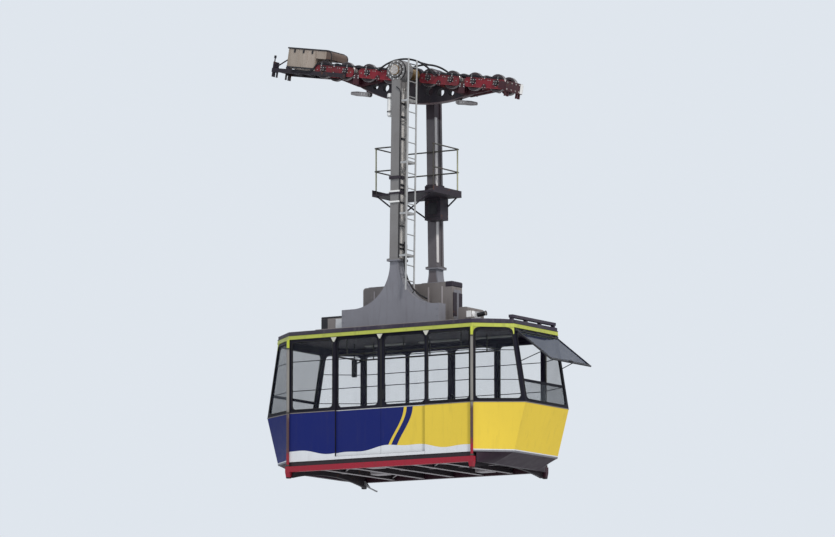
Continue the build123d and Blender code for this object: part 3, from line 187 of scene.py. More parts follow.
def weathered(tree, colour, dirt, dirtColour, patchScale=1.3):  # cloudy tone, run-down streaks, fine specks
    for pattern, low, high, share in ((noise(tree, patchScale, 5), 0.35, 0.7, 0.6),
                                      (noise(tree, 11, 6, 0.6, (1, 1, 0.12)), 0.5, 0.75, 1.0),
                                      (noise(tree, 60, 3, 0.6), 0.58, 0.72, 0.7)):
        amount = calc(tree, "MULTIPLY", between(tree, pattern, low, high), dirt * share)
        colour = mixed(tree, amount, colour, dirtColour)
    return colour


def cover(tree, shader, colour, rough, relief, bump, depth, metal=0.0, shine=0.25):  # a paint's last nodes
    normal = step(tree, "ShaderNodeBump", {"Height": relief, "Strength": bump, "Distance": depth})
    for label, value in (("Base Color", colour), ("Roughness", rough), ("Metallic", metal),
                         ("Specular IOR Level", shine), ("Normal", normal)):
        feed(tree, shader.inputs[label], value)


def finish(name, colour, rough, dirt=0.3, dirtColour=(0.035, 0.028, 0.028), metal=0.0, rust=0.0, bump=0.25,
           grain=90, coat=0.0):
    tree, shader = newMaterial(name)
    surface = weathered(tree, colour, dirt, dirtColour)
    spread = noise(tree, 7, 5)
    if rust > 0:
        amount = between(tree, noise(tree, 9, 8, 0.65), 0.62 - rust * 0.2, 0.7)
        surface = mixed(tree, calc(tree, "MULTIPLY", amount, 0.8), surface, (0.11, 0.045, 0.025))
        spread = calc(tree, "ADD", spread, calc(tree, "MULTIPLY", amount, 0.4))
    spread = calc(tree, "ADD", calc(tree, "MULTIPLY", spread, 0.3), rough - 0.15)
    cover(tree, shader, surface, spread, noise(tree, grain, 3), bump, 0.0015, metal)
    shader.inputs["Coat Weight"].default_value = coat
    shader.inputs["Coat Roughness"].default_value = 0.12


paints = {"navy": (0.012, 0.02, 0.135), "yellow": (0.76, 0.56, 0.07), "snow": (0.7, 0.72, 0.75),
          "frame": (0.009, 0.009, 0.017), "lining": (0.028, 0.02, 0.046)}
livery = {"splitMiddle": 0.52, "splitSwing": 0.2, "stripeBack": 0.17, "stripeHalf": 0.032, "waveLevel": 0.17,
          "longWave": 0.05, "shortWave": 0.018, "longPitch": 2.4, "shortPitch": 7.1, "stripHeight": 0.05}


def waveHeight(tree, x, phase):  # the wavy upper edge of the white foot band on the long walls
    height = livery["waveLevel"]
    for wave, shift in (("long", phase), ("short", phase * 1.7)):
        angle = calc(tree, "ADD", calc(tree, "MULTIPLY", x, livery[wave + "Pitch"]), shift)
        ripple = calc(tree, "SINE", angle)
        height = calc(tree, "MULTIPLY_ADD", ripple, livery[wave + "Wave"], height)
    return height


def shellPaint(name, outward, pattern):  # livery outside below the belt, dark frames above it, lining inside
    tree, shader = newMaterial(name)
    x, y, z = cabinPoint(tree)
    if pattern == "wave":
        sweep = calc(tree, "SINE", calc(tree, "MULTIPLY_ADD", z, math.pi / cabin["belt"], -math.pi / 2))
        edge = calc(tree, "MULTIPLY_ADD", sweep, livery["splitSwing"], livery["splitMiddle"])
        beyond = calc(tree, "SUBTRACT", x, edge)
        fromStripe = calc(tree, "ABSOLUTE", calc(tree, "ADD", beyond, livery["stripeBack"]))
        isStripe = calc(tree, "LESS_THAN", fromStripe, livery["stripeHalf"])
        isYellow = calc(tree, "MAXIMUM", calc(tree, "GREATER_THAN", beyond, 0.0), isStripe)
        ground = mixed(tree, isYellow, paints["navy"], paints["yellow"])
        isSnow = calc(tree, "GREATER_THAN", waveHeight(tree, x, 0.6 if outward.y < 0 else 2.2), z)
        ground = mixed(tree, isSnow, ground, paints["snow"])
    else:
        isSnow = calc(tree, "LESS_THAN", z, livery["stripHeight"])
        ground = mixed(tree, isSnow, paints[pattern], paints["snow"])
    ground = weathered(tree, ground, 0.1, (0.07, 0.06, 0.06), 0.9)
    facing = tree.nodes.new("ShaderNodeVectorMath")
    facing.operation = "DOT_PRODUCT"
    geometry = tree.nodes.new("ShaderNodeNewGeometry")
    tree.links.new(geometry.outputs["True Normal"], facing.inputs[0])
    facing.inputs[1].default_value = outward
    outside = calc(tree, "GREATER_THAN", facing.outputs["Value"], 0.8)
    inside = calc(tree, "LESS_THAN", facing.outputs["Value"], -0.8)
    painted = calc(tree, "MULTIPLY", outside, calc(tree, "LESS_THAN", z, cabin["belt"] + 0.004))
    plain = weathered(tree, mixed(tree, inside, paints["frame"], paints["lining"]), 0.3, (0.05, 0.045, 0.05))
    gloss = calc(tree, "MULTIPLY_ADD", noise(tree, 5, 5), 0.2, 0.3)
    relief = calc(tree, "MULTIPLY_ADD", noise(tree, 120, 2), 0.1, noise(tree, 2.2, 2))
    cover(tree, shader, mixed(tree, painted, plain, ground), calc(tree, "MULTIPLY_ADD", inside, 0.3, gloss),
          relief, 0.1, 0.01, shine=0.05)


def glass(name, colour, clear, dusty):
    tree, shader = newMaterial(name)
    dust = noise(tree, 3, 6, 0.6, (1, 1, 0.4))
    rim = tree.nodes.new("ShaderNodeLayerWeight")
    rim.inputs["Blend"].default_value = 0.25
    opacity = calc(tree, "MULTIPLY_ADD", rim.outputs["Fresnel"], 0.4, 1 - clear)
    opacity = calc(tree, "MULTIPLY_ADD", between(tree, dust, 0.5, 0.85), 0.05, opacity)
    for label, value in (("Base Color", mixed(tree, between(tree, dust, 0.5, 0.9), colour, dusty)),
                         ("Roughness", 0.04), ("IOR", 1.45), ("Alpha", opacity)):
        feed(tree, shader.inputs[label], value)


def guidePostPaint():  # red foot, worn maroon, grey, green at the top; the far foot and rail darkened as painted shade
    tree, shader = newMaterial("guidePostPaint")
    x, y, z = cabinPoint(tree)
    jitter = calc(tree, "MULTIPLY", calc(tree, "SUBTRACT", noise(tree, 8, 5), 0.5), 0.5)
    height = calc(tree, "ADD", z, jitter)
    colour = mixed(tree, between(tree, height, 0.1, 0.3), (0.31, 0.01, 0.028), (0.08, 0.045, 0.05))
    colour = mixed(tree, between(tree, height, 0.75, 1.05), colour, (0.24, 0.23, 0.215))
    colour = mixed(tree, between(tree, z, 2.2, 2.215), colour, (0.5, 0.56, 0.06))
    # painted shade: the far side's foot and rail in a darker maroon
    farFootShade = calc(tree, "MULTIPLY", calc(tree, "GREATER_THAN", y, 0.0), calc(tree, "LESS_THAN", z, 0.6))
    colour = weathered(tree, mixed(tree, farFootShade, colour, (0.035, 0.01, 0.02)), 0.25, (0.05, 0.035, 0.03))
    cover(tree, shader, colour, 0.45, noise(tree, 80, 3), 0.2, 0.001)


def hosePaint():  # hose in a grey sleeve, bare rubber near the roof
    tree, shader = newMaterial("hosePaint")
    sleeve = between(tree, cabinPoint(tree)[2], 4.2, 4.22)
    colour = mixed(tree, sleeve, (0.012, 0.012, 0.014), (0.19, 0.185, 0.18))
    colour = weathered(tree, colour, 0.35, (0.06, 0.05, 0.05))
    cover(tree, shader, colour, 0.55, noise(tree, 160, 3), 0.3, 0.001)


def caseSheet():  # weathered sheet in upright panels of slightly different tone
    tree, shader = newMaterial("caseSheet")
    x = step(tree, "ShaderNodeSeparateXYZ", {"Vector": objectPoint(tree)})
    panel = calc(tree, "FLOOR", calc(tree, "MULTIPLY", x, 3.3))
    tone = step(tree, "ShaderNodeTexWhiteNoise", {"W": panel}, noise_dimensions="1D")
    colour = mixed(tree, tone, (0.25, 0.21, 0.17), (0.4, 0.34, 0.29))
    colour = weathered(tree, colour, 0.55, (0.16, 0.1, 0.07))
    cover(tree, shader, colour, 0.62, noise(tree, 40, 4), 0.3, 0.002, shine=0.5)


def legPaint(name, tone, shadowFrom):  # grey leg, with a painted shadow (dark) above a level
    tree, shader = newMaterial(name)
    ragged = calc(tree, "MULTIPLY_ADD", noise(tree, 6, 6), 0.12, cabinPoint(tree)[2])
    # painted shadow: dark maroon above the level, where the carriage's shadow falls on the leg
    carriageShadow = calc(tree, "MULTIPLY", between(tree, ragged, shadowFrom, shadowFrom + 0.05), 0.9)
    colour = mixed(tree, carriageShadow, weathered(tree, tone, 0.45, (0.1, 0.085, 0.08)), (0.03, 0.018, 0.026))
    rough = calc(tree, "MULTIPLY_ADD", noise(tree, 7, 5), 0.3, 0.35)
    cover(tree, shader, colour, rough, noise(tree, 90, 3), 0.25, 0.0015, metal=0.15)


finish("carriageRed", (0.2, 0.009, 0.02), 0.5, 0.6, rust=0.25)
finish("carriageDarkRed", (0.05, 0.009, 0.016), 0.55, 0.6, rust=0.3)
finish("carriageDark", (0.014, 0.01, 0.018), 0.55, 0.5, rust=0.2)
finish("castSteel", (0.46, 0.43, 0.41), 0.55, 0.5, metal=0.3)
finish("wheelSteel", (0.05, 0.04, 0.045), 0.5, 0.5, metal=0.4, rust=0.2)
finish("wheelRim", (0.3, 0.28, 0.28), 0.32, 0.45, metal=0.85)
finish("bareSteel", (0.5, 0.49, 0.48), 0.38, 0.35, metal=0.9)
finish("baseGrey", (0.2, 0.2, 0.225), 0.5, 0.3, (0.09, 0.08, 0.09), metal=0.15)
finish("roofGear", (0.21, 0.19, 0.185), 0.55, 0.5, (0.08, 0.07, 0.07), metal=0.1)
finish("zinc", (0.42, 0.42, 0.42), 0.45, 0.4, (0.16, 0.15, 0.14), metal=0.5)
finish("railingPaint", (0.06, 0.056, 0.048), 0.5, 0.4, rust=0.15)
finish("platformDark", (0.026, 0.02, 0.03), 0.6, 0.4, rust=0.2)
finish("hoseBlack", (0.012, 0.012, 0.014), 0.6, 0.2, bump=0.4, grain=160)
finish("floorPlate", (0.12, 0.12, 0.125), 0.55, 0.4, metal=0.5)
finish("bandGreen", (0.44, 0.48, 0.075), 0.45, 0.3, (0.13, 0.13, 0.06), coat=0.1)
finish("roofDark", (0.03, 0.023, 0.042), 0.6, 0.4, (0.11, 0.1, 0.1))
finish("underGrey", (0.022, 0.016, 0.022), 0.55, 0.4, rust=0.1)
finish("paleEdge", (0.38, 0.35, 0.36), 0.5, 0.4, (0.16, 0.13, 0.14))
finish("bellyMaroon", (0.028, 0.012, 0.025), 0.5, 0.4)
finish("darkPaint", (0.013, 0.013, 0.018), 0.4, 0.2)
finish("ductHighlightPaint", (0.62, 0.6, 0.6), 0.45, 0.3, (0.25, 0.23, 0.23))
finish("palePostPaint", (0.4, 0.4, 0.27), 0.5, 0.4, (0.16, 0.15, 0.1))
finish("socketSteel", (0.33, 0.31, 0.31), 0.5, 0.6, metal=0.3)
finish("cableGrey", (0.56, 0.54, 0.52), 0.5, 0.4, (0.14, 0.13, 0.12))
finish("greasedAxle", (0.3, 0.19, 0.07), 0.45, 0.6, metal=0.3, rust=0.3)
finish("gussetPaint", (0.6, 0.6, 0.52), 0.5, 0.4, (0.2, 0.2, 0.15))
# a darker copy of the base grey: painted shade on the far base's open back
finish("shadedNeckPaint", (0.135, 0.12, 0.13), 0.5, 0.5, (0.07, 0.05, 0.055))
# a darker brown than the case sheet: painted shade on the case's end cap, plus rust
finish("shadedCaseEndSheet", (0.13, 0.09, 0.072), 0.6, 0.6, rust=0.3)
finish("lighterRedEdge", (0.24, 0.03, 0.04), 0.45, 0.5, rust=0.2)
finish("beamEdge", (0.17, 0.12, 0.13), 0.5, 0.5, rust=0.2)
finish("springPaint", (0.3, 0.29, 0.27), 0.4, 0.4, metal=0.6)
finish("trimGrey", (0.45, 0.45, 0.46), 0.4, 0.25, (0.2, 0.19, 0.18), metal=0.4)
finish("whitePaint", (0.78, 0.78, 0.77), 0.4, 0.22, (0.3, 0.28, 0.25))
finish("rubber", (0.014, 0.014, 0.015), 0.7, 0.15, bump=0.3, grain=200)
finish("lampLens", (0.85, 0.86, 0.88), 0.15, 0.05, coat=0.8)
finish("lightDiffuser", (0.5, 0.5, 0.48), 0.5, 0.1)
legPaint("nearLegPaint", (0.2, 0.195, 0.195), 9.0)
# far leg: a darker copy of the near leg's grey as painted shade, with the carriage's painted shadow from
# 6.82 up
legPaint("shadedFarLegPaint", (0.118, 0.108, 0.12), 6.82)
glass("windowGlass", (0.03, 0.04, 0.055), 0.93, (0.16, 0.18, 0.2))
glass("tintedGlass", (0.01, 0.018, 0.06), 0.55, (0.05, 0.06, 0.1))
guidePostPaint()
hosePaint()
caseSheet()
for wall in walls:
    pattern = "wave" if wall.startswith("side") else "yellow" if "downhill" in wall else "navy"
    shellPaint(wall + "Paint", outwardOf(wall), pattern)

nodeLooks = {  # by the start of a node's name, the first that fits
    "wheelset": "wheelSteel", "bogie": "carriageRed", "rocker": "carriageDarkRed",
    "haul_socket": "socketSteel", "main_beam": "carriageDark", "hanger_axle": "greasedAxle",
    "guard_hoops": "carriageDark", "uphill_frame": "carriageDark", "equipment_case": "caseSheet",
    "downhill_guide": "carriageDarkRed",
    "hanger_leg_near": "nearLegPaint", "hanger_leg_far": "shadedFarLegPaint", "hanger_base": "baseGrey",
    "roof_": "roofGear", "ladder": "zinc", "platform_railing": "railingPaint", "platform": "platformDark",
    "leg_hose": "hosePaint", "glazing": "windowGlass", "floor": "floorPlate", "vent_flap": "darkPaint",
    "eave_band": "bandGreen", "roof": "roofDark", "underframe": "underGrey", "belly": "bellyMaroon",
    "grab_rail": "railingPaint", "side_frame": "guidePostPaint"}


def lookOf(name):
    for start, look in nodeLooks.items():
        if name.startswith(start):
            return looks[look]
    if name.endswith("_glass"):
        return looks["windowGlass"]
    if name.startswith("door"):
        return looks["side_nearPaint" if "near" in name else "side_farPaint"]
    return looks[name.removesuffix("_wall") + "Paint"]


for name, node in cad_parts.items():
    for slot in node.material_slots:
        slot.material = lookOf(name)
print("finishes made:", len(looks))


# mesh and node helpers

def addBlock(shape, place, low, high, edge=0.003):  # a block with broken edges
    low, high = [Vector([pick(pair) for pair in zip(low, high)]) for pick in (min, max)]
    size = high - low
    scaled = place @ Matrix.Translation((low + high) / 2) @ Matrix.Diagonal((*size, 1))
    made = bmesh.ops.create_cube(shape, size=1, matrix=scaled)
    edges = {edge for vertex in made["verts"] for edge in vertex.link_edges}
    bmesh.ops.bevel(shape, geom=list(edges), offset=min(edge, min(size) * 0.3), segments=1, affect="EDGES")


def addRings(shape, rings):  # skin between rings of vertices; a ring of one is a pole
    for a, b in zip(rings, rings[1:]):
        sides = max(len(a), len(b))
        for i in range(sides):
            j = (i + 1) % sides
            if len(a) == 1:
                shape.faces.new((a[0], b[j], b[i]))
            elif len(b) == 1:
                shape.faces.new((a[i], a[j], b[0]))
            else:
                shape.faces.new((a[i], a[j], b[j], b[i]))


def addBar(shape, outlines):  # skin over outlines of points, closed at both ends
    rings = [[shape.verts.new(point) for point in outline] for outline in outlines]
    addRings(shape, rings)
    shape.faces.new(rings[0])
    shape.faces.new(rings[-1])


def addPlate(shape, corners, step):  # a flat outline and its copy a step away
    addBar(shape, [corners, [Vector(corner) + Vector(step) for corner in corners]])


def addUpright(shape, place, outline, y, depth):  # a plate whose outline gives x and z
    corners = [place @ Vector((x, y, z)) for x, z in outline]
    addPlate(shape, corners, place.to_3x3() @ Vector((0, depth, 0)))


def addTurned(shape, place, profile, sides=32, axis="Y"):  # profile of (along, radius) turned about an axis
    rings = []
    for along, radius in profile:
        ring = []
        for i in range(sides if radius > 0.0001 else 1):
            turn = 2 * math.pi * i / sides
            a, b = radius * math.cos(turn), radius * math.sin(turn)
            point = {"X": (along, a, b), "Y": (a, along, b), "Z": (a, b, along)}[axis]
            ring.append(shape.verts.new(place @ Vector(point)))
        rings.append(ring)
    addRings(shape, rings)


def addOnFace(shape, place, y, side, profile, sides):  # turned; profile of (proud, radius), a ring if open
    turned = [(y + side * proud, radius) for proud, radius in profile]
    addTurned(shape, place, turned if profile[0][1] == 0 else turned + turned[:1], sides)


def addCollar(shape, place, low, high, inner, outer, sides):
    band = [(low, inner), (low, outer), (high, outer), (high, inner), (low, inner)]
    addTurned(shape, place, band, sides, "Z")


def weld(shape):
    bmesh.ops.remove_doubles(shape, verts=shape.verts, dist=0.00001)


def addTube(shape, place, points, radius, sides=10):
    points = [place @ Vector(point) for point in points]
    rings, across = [], None
    for i, point in enumerate(points):
        ahead = (points[min(i + 1, len(points) - 1)] - points[max(i - 1, 0)]).normalized()
        across = ahead.orthogonal() if across is None else across - ahead * across.dot(ahead)
        across.normalize()
        up = ahead.cross(across)
        ring = []
        for k in range(sides):
            turn = 2 * math.pi * k / sides
            ring.append(shape.verts.new(point + (across * math.cos(turn) + up * math.sin(turn)) * radius))
        rings.append(ring)
    addRings(shape, [[shape.verts.new(points[0])]] + rings + [[shape.verts.new(points[-1])]])


def bent(points, radius, steps=4, closed=False):  # a line with its corners turned in short steps
    points = [Vector(point) for point in points]
    count = len(points)
    turned = [] if closed else [points[0]]
    for i in range(0 if closed else 1, count if closed else count - 1):
        before = (points[i - 1] - points[i]).normalized() * radius
        after = (points[(i + 1) % count] - points[i]).normalized() * radius
        for k in range(steps + 1):
            t = k / steps
            turned.append(points[i] + before * (1 - t) ** 2 + after * t ** 2)
    return turned if closed else turned + [points[-1]]


def linked(name, content):
    made = bpy.data.objects.new(name, content)
    bpy.context.scene.collection.objects.link(made)
    return made


def settle(piece, body, replaced=()):
    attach(piece, body)
    if replaced:
        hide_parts(*replaced)
    return piece


def finishPiece(name, shape, look, body, replaced=(), sharp=32):
    bmesh.ops.recalc_face_normals(shape, faces=shape.faces)
    mesh = bpy.data.meshes.new(name)
    shape.to_mesh(mesh)
    shape.free()
    mesh.materials.append(looks[look])
    mesh.polygons.foreach_set("use_smooth", [True] * len(mesh.polygons))
    mesh.set_sharp_from_angle(angle=math.radians(sharp))
    return settle(linked(name, mesh), body, replaced)


def blocks(name, look, body, sizes, place=None):  # each block: low, high, perhaps its broken edge
    shape = bmesh.new()
    for low, high, *edge in sizes:
        addBlock(shape, frames[body] if place is None else place, low, high, *edge)
    return finishPiece(name, shape, look, body)


def newTree(name, sizes):
    tree = bpy.data.node_groups.new(name, "GeometryNodeTree")
    for direction in ("INPUT", "OUTPUT"):
        tree.interface.new_socket("Geometry", in_out=direction, socket_type="NodeSocketGeometry")
    for label in sizes:
        tree.interface.new_socket(label, in_out="INPUT", socket_type="NodeSocketFloat")
    tree.interface.new_socket("Finish", in_out="INPUT", socket_type="NodeSocketMaterial")
    return tree, tree.nodes.new("NodeGroupInput").outputs


def onSpots(tree, given, instance, turn):  # copies on the spots, made real and painted
    placed = step(tree, "GeometryNodeInstanceOnPoints",
                  {"Points": given["Geometry"], "Instance": instance, "Rotation": turn})
    return closeTree(tree, placed, given)


def closeTree(tree, geometry, given):
    real = step(tree, "GeometryNodeRealizeInstances", {"Geometry": geometry})
    painted = step(tree, "GeometryNodeSetMaterial", {"Geometry": real, "Material": given["Finish"]})
    tree.links.new(painted, tree.nodes.new("NodeGroupOutput").inputs[0])
    return tree


def spotTurn(tree):  # a spot's local z along its facing and its local x along its run
    facing = step(tree, "GeometryNodeInputNamedAttribute", {"Name": "facing"}, data_type="FLOAT_VECTOR")
    run = step(tree, "GeometryNodeInputNamedAttribute", {"Name": "run"}, data_type="FLOAT_VECTOR")
    turn = step(tree, "FunctionNodeAlignRotationToVector", {"Vector": facing}, axis="Z")
    return step(tree, "FunctionNodeAlignRotationToVector", {"Rotation": turn, "Vector": run}, axis="X",
                pivot_axis="Z")


def boltTree():  # hexagon heads on washers, each turned its own way
    tree, given = newTree("boltTree", ("Across", "Height", "Washer"))
    chance = tree.nodes.new("FunctionNodeRandomValue")
    chance.data_type = "FLOAT"
    chance.inputs["Seed"].default_value = 4
    rise = step(tree, "ShaderNodeCombineXYZ", {"Z": calc(tree, "MULTIPLY", given["Height"], 0.6)})
    corner = calc(tree, "MULTIPLY", given["Across"], 0.577)
    thick = calc(tree, "MULTIPLY", given["Height"], 0.3)
    head = step(tree, "GeometryNodeMeshCylinder", {"Vertices": 6, "Radius": corner,
                                                   "Depth": given["Height"]})
    lifted = step(tree, "GeometryNodeTransform", {"Geometry": head, "Translation": rise})
    washer = step(tree, "GeometryNodeMeshCylinder", {"Vertices": 10, "Radius": given["Washer"],
                                                     "Depth": thick})
    join = tree.nodes.new("GeometryNodeJoinGeometry")
    for part in (washer, lifted):
        tree.links.new(part, join.inputs[0])
    angle = calc(tree, "MULTIPLY", chance.outputs[1], 1.05)
    spin = step(tree, "FunctionNodeAxisAngleToRotation", {"Axis": (0, 0, 1), "Angle": angle})
    turn = step(tree, "FunctionNodeRotateRotation", {"Rotation": spotTurn(tree), "Rotate By": spin},
                rotation_space="LOCAL")
    return onSpots(tree, given, join.outputs[0], turn)


def battenTree():  # straight strips, slats and clamps on spots
    labels = ("Length", "Width", "Thickness")
    tree, given = newTree("battenTree", labels)
    size = step(tree, "ShaderNodeCombineXYZ", {axis: given[label] for axis, label in zip("XYZ", labels)})
    return onSpots(tree, given, step(tree, "GeometryNodeMeshCube", {"Size": size}), spotTurn(tree))


def beadTree():  # a round bead or pipe along lines
    tree, given = newTree("beadTree", ("Radius",))
    path = step(tree, "GeometryNodeMeshToCurve", {"Mesh": given["Geometry"]})
    ring = step(tree, "GeometryNodeCurvePrimitiveCircle", {"Resolution": 8, "Radius": given["Radius"]})
    skin = step(tree, "GeometryNodeCurveToMesh", {"Curve": path, "Profile Curve": ring, "Fill Caps": True})
    return closeTree(tree, step(tree, "GeometryNodeSetShadeSmooth", {"Geometry": skin}), given)


trees = {"bolt": boltTree(), "batten": battenTree(), "bead": beadTree()}
print("node trees made:", ", ".join(trees))


def grown(name, source, treeName, sizes, look, body):  # a tree's result as a plain mesh
    piece = linked(name, source)
    modifier = piece.modifiers.new("nodes", "NODES")
    modifier.node_group = trees[treeName]
    values = dict(sizes, Finish=looks[look])
    for item in trees[treeName].interface.items_tree:
        if item.in_out == "INPUT" and item.name in values:
            modifier[item.identifier] = values[item.name]
    whole = piece.evaluated_get(bpy.context.evaluated_depsgraph_get())
    mesh = bpy.data.meshes.new_from_object(whole)
    piece.modifiers.remove(modifier)
    piece.data = mesh
    mesh.name = name
    return settle(piece, body)


def spotMesh(name, spots):
    mesh = bpy.data.meshes.new(name)
    mesh.from_pydata([spot[0] for spot in spots], [], [])
    for label, i in (("facing", 1), ("run", 2)):
        attribute = mesh.attributes.new(label, "FLOAT_VECTOR", "POINT")
        attribute.data.foreach_set("vector", [value for spot in spots for value in spot[i]])
    return mesh


def lineMesh(name, lines, closed=False):
    points, edges = [], []
    for line in lines:
        first = len(points)
        points += [tuple(point) for point in line]
        edges += [(i, i + 1) for i in range(first, len(points) - 1)]
        if closed:
            edges.append((len(points) - 1, first))
    mesh = bpy.data.meshes.new(name)
    mesh.from_pydata(points, edges, [])
    return mesh


def spot(place, point, facing, run=None):
    facing = Vector(facing)
    run = facing.orthogonal() if run is None else Vector(run)
    turn = place.to_3x3()
    return place @ Vector(point), turn @ facing, turn @ run


def boltCircle(place, centre, side, radius, count, first):  # spots on a circle that faces along y
    x, y, z = centre
    turns = [math.radians(first + k * 360 / count) for k in range(count)]
    return [spot(place, (x + radius * math.cos(turn), y, z + radius * math.sin(turn)), (0, side, 0))
            for turn in turns]


def bolts(name, spots, look, body, across=0.024, height=0.012):
    sizes = {"Across": across, "Height": height, "Washer": across * 0.75}
    return grown(name, spotMesh(name, spots), "bolt", sizes, look, body)


def battens(name, spots, look, body, slotName, length, width, thickness):
    sizes = {"Length": length, "Width": width, "Thickness": thickness}
    return grown(name, spotMesh(name, spots), "batten", sizes, look, body)


def beads(name, lines, look, body, radius, closed=False):
    return grown(name, lineMesh(name, lines, closed), "bead", {"Radius": radius}, look, body)


# carriage

wheels = {"places": (-2.01, -1.49, -0.97, -0.45, 0.45, 0.97, 1.49, 2.01), "height": 0.175, "radius": 0.18,
          "halfWidth": 0.04, "groove": 0.1525, "ropeSeat": 0.0235, "rimInside": 0.1225, "web": 0.012,
          "hub": 0.062, "axle": 0.035, "capRadius": 0.048, "capFrom": 0.311, "capTo": 0.327, "sides": 56,
          "boltCircle": 0.036}


def wheelProfile():  # one wheel's outline from its inner flank to its outer flank
    half, seat, web, hub = wheels["halfWidth"], wheels["ropeSeat"], wheels["web"], wheels["hub"]
    rim, outer = wheels["rimInside"], wheels["radius"]
    flank = [(half * 0.95, wheels["axle"] - 0.001), (half * 0.95, hub - 0.006), (half * 0.8, hub),
             (web + 0.004, hub + 0.003), (web, hub + 0.01), (web, rim - 0.012), (web + 0.006, rim - 0.003),
             (half * 0.85, rim + 0.001), (half, rim + 0.007), (half, outer - 0.006),
             (half * 0.93, outer - 0.001), (half * 0.8, outer), (seat + 0.003, outer - 0.002)]
    groove = []
    for k in range(9):
        turn = math.radians(-90 + 22.5 * k)
        groove.append((seat * math.sin(turn), wheels["groove"] + seat * (1 - math.cos(turn))))
    return [(-y, r) for y, r in flank] + groove + list(reversed(flank))


def capProfile():  # an axle's end cap, from its face inwards
    face, back, radius = wheels["capTo"], wheels["capFrom"], wheels["capRadius"]
    return [(face, 0.0), (face, 0.024), (face - 0.003, 0.026), (face - 0.004, radius - 0.004),
            (face - 0.008, radius), (back + 0.002, radius), (back, radius - 0.002), (back, wheels["axle"])]


def isTread(point):  # the part of a wheel that the rope and the rails polish
    reach, fromRope = math.hypot(point.x, point.z), abs(abs(point.y) - line["ropeY"])
    return reach > wheels["radius"] - 0.007 or fromRope < wheels["ropeSeat"] and reach > 0.15


for number, x in enumerate(wheels["places"], 1):
    body = f"wheel_axle_{number}"
    place = tilt @ Matrix.Translation((x, 0, wheels["height"]))
    shape, capSpots, capFace = bmesh.new(), [], wheels["capTo"] - 0.004
    addTurned(shape, place, [(-y, r) for y, r in capProfile()] + list(reversed(capProfile())))
    for side in (near, far):
        profile = [(side * line["ropeY"] + y, r) for y, r in wheelProfile()]
        addTurned(shape, place, profile + profile[:1], wheels["sides"])
        weld(shape)
        capSpots += boltCircle(place, (0, side * capFace, 0), side, wheels["boltCircle"], 4, 45)
    wheelset = finishPiece(f"turnedWheelset{number}", shape, "wheelSteel", body,
                           (f"wheelset_{number}",), sharp=38)
    wheelset.data.materials.append(looks["wheelRim"])
    for face in wheelset.data.polygons:
        face.material_index = int(isTread(tilt.inverted() @ (face.center - place.translation)))
    bolts(f"capBolts{number}", capSpots, "bareSteel", body, 0.011, 0.006)
print("wheels turned:", number)

bogie = {"centres": (-1.75, -0.71, 0.71, 1.75), "ribHalf": 0.39, "low": 0.06, "high": 0.25, "outside": 0.289,
         "pinHeight": 0.085, "rib": 0.014, "ribProud": 0.006, "pinRadius": 0.052, "pinProud": 0.011,
         "pinBolts": 0.036, "wheelPitch": 0.26, "wheelBolts": 0.066,
         "boltRows": ((-0.395, 0.155), (-0.125, 0.215), (-0.075, 0.215), (0.075, 0.215), (0.125, 0.215),
                      (0.395, 0.155)), "bearing": ((-0.001, 0.037), (-0.001, 0.062), (0.0035, 0.062),
                                                   (0.005, 0.059), (0.005, 0.037))}
pinProfile = [(-0.002, 0), (-0.002, bogie["pinRadius"]), (bogie["pinProud"] - 0.003, bogie["pinRadius"]),
              (bogie["pinProud"], bogie["pinRadius"] - 0.004), (bogie["pinProud"], 0)]
ribs, bogieBolts, pinPlates, bearings = [], [], bmesh.new(), bmesh.new()
for x in bogie["centres"]:
    for side in (near, far):
        y = side * bogie["outside"]
        pin = y + side * bogie["pinProud"]
        for z in (bogie["low"], bogie["high"] - bogie["rib"]):
            ribs.append(((x - bogie["ribHalf"], y, z),
                         (x + bogie["ribHalf"], y + side * bogie["ribProud"], z + bogie["rib"])))
        addOnFace(pinPlates, tilt @ Matrix.Translation((x, 0, bogie["pinHeight"])), y, side, pinProfile, 24)
        bogieBolts += boltCircle(tilt, (x, pin, bogie["pinHeight"]), side, bogie["pinBolts"], 3, 90)
        bogieBolts += [spot(tilt, (x + u, y, z), (0, side, 0)) for u, z in bogie["boltRows"]]
        for wheelX in (x - bogie["wheelPitch"], x + bogie["wheelPitch"]):
            circle = boltCircle(tilt, (wheelX, y, wheels["height"]), side, bogie["wheelBolts"], 6, 30)
            bogieBolts += circle[:1] + circle[2:]  # the topmost would lie on the rib
for x in wheels["places"]:
    for side in (near, far):
        centre = tilt @ Matrix.Translation((x, 0, wheels["height"]))
        addOnFace(bearings, centre, side * bogie["outside"], side, bogie["bearing"], 28)
weld(bearings)
# the ribs are a lighter red than the bogie plates
blocks("bogieRibs", "lighterRedEdge", carriageBody, ribs)
finishPiece("pinPlates", pinPlates, "carriageDarkRed", carriageBody)
bolts("bogieBolts", bogieBolts, "castSteel", carriageBody, 0.013, 0.009)
finishPiece("bearingRings", bearings, "carriageDark", carriageBody)

beam = {"halfLength": 1.32, "endLow": -0.06, "midLow": -0.33, "top": 0.1, "topFrom": 0.27,
        "flange": 0.008, "flangeHalf": 0.068}


def arcHeights(halfLength, rise, steps):  # x and height along an arc, from end to end
    radius = (halfLength ** 2 + rise ** 2) / (2 * rise)
    places = [halfLength * (k / (steps / 2) - 1) for k in range(steps + 1)]
    return [(x, radius - math.sqrt(radius ** 2 - x * x)) for x in places]


shape = bmesh.new()
half, thick = beam["flangeHalf"], beam["flange"]
addBar(shape, [[tilt @ Vector((x, y, beam["midLow"] + z + dz)) for y, dz in (
    (-half, -thick), (half, -thick), (half, thick), (-half, thick))]
    for x, z in arcHeights(beam["halfLength"], beam["endLow"] - beam["midLow"], 32)])
for end in (uphill, downhill):
    addBlock(shape, tilt, (end * beam["topFrom"], -half, beam["top"] - 0.002),
             (end * (beam["halfLength"] - 0.005), half, beam["top"] + thick))
finishPiece("beamFlanges", shape, "beamEdge", carriageBody)

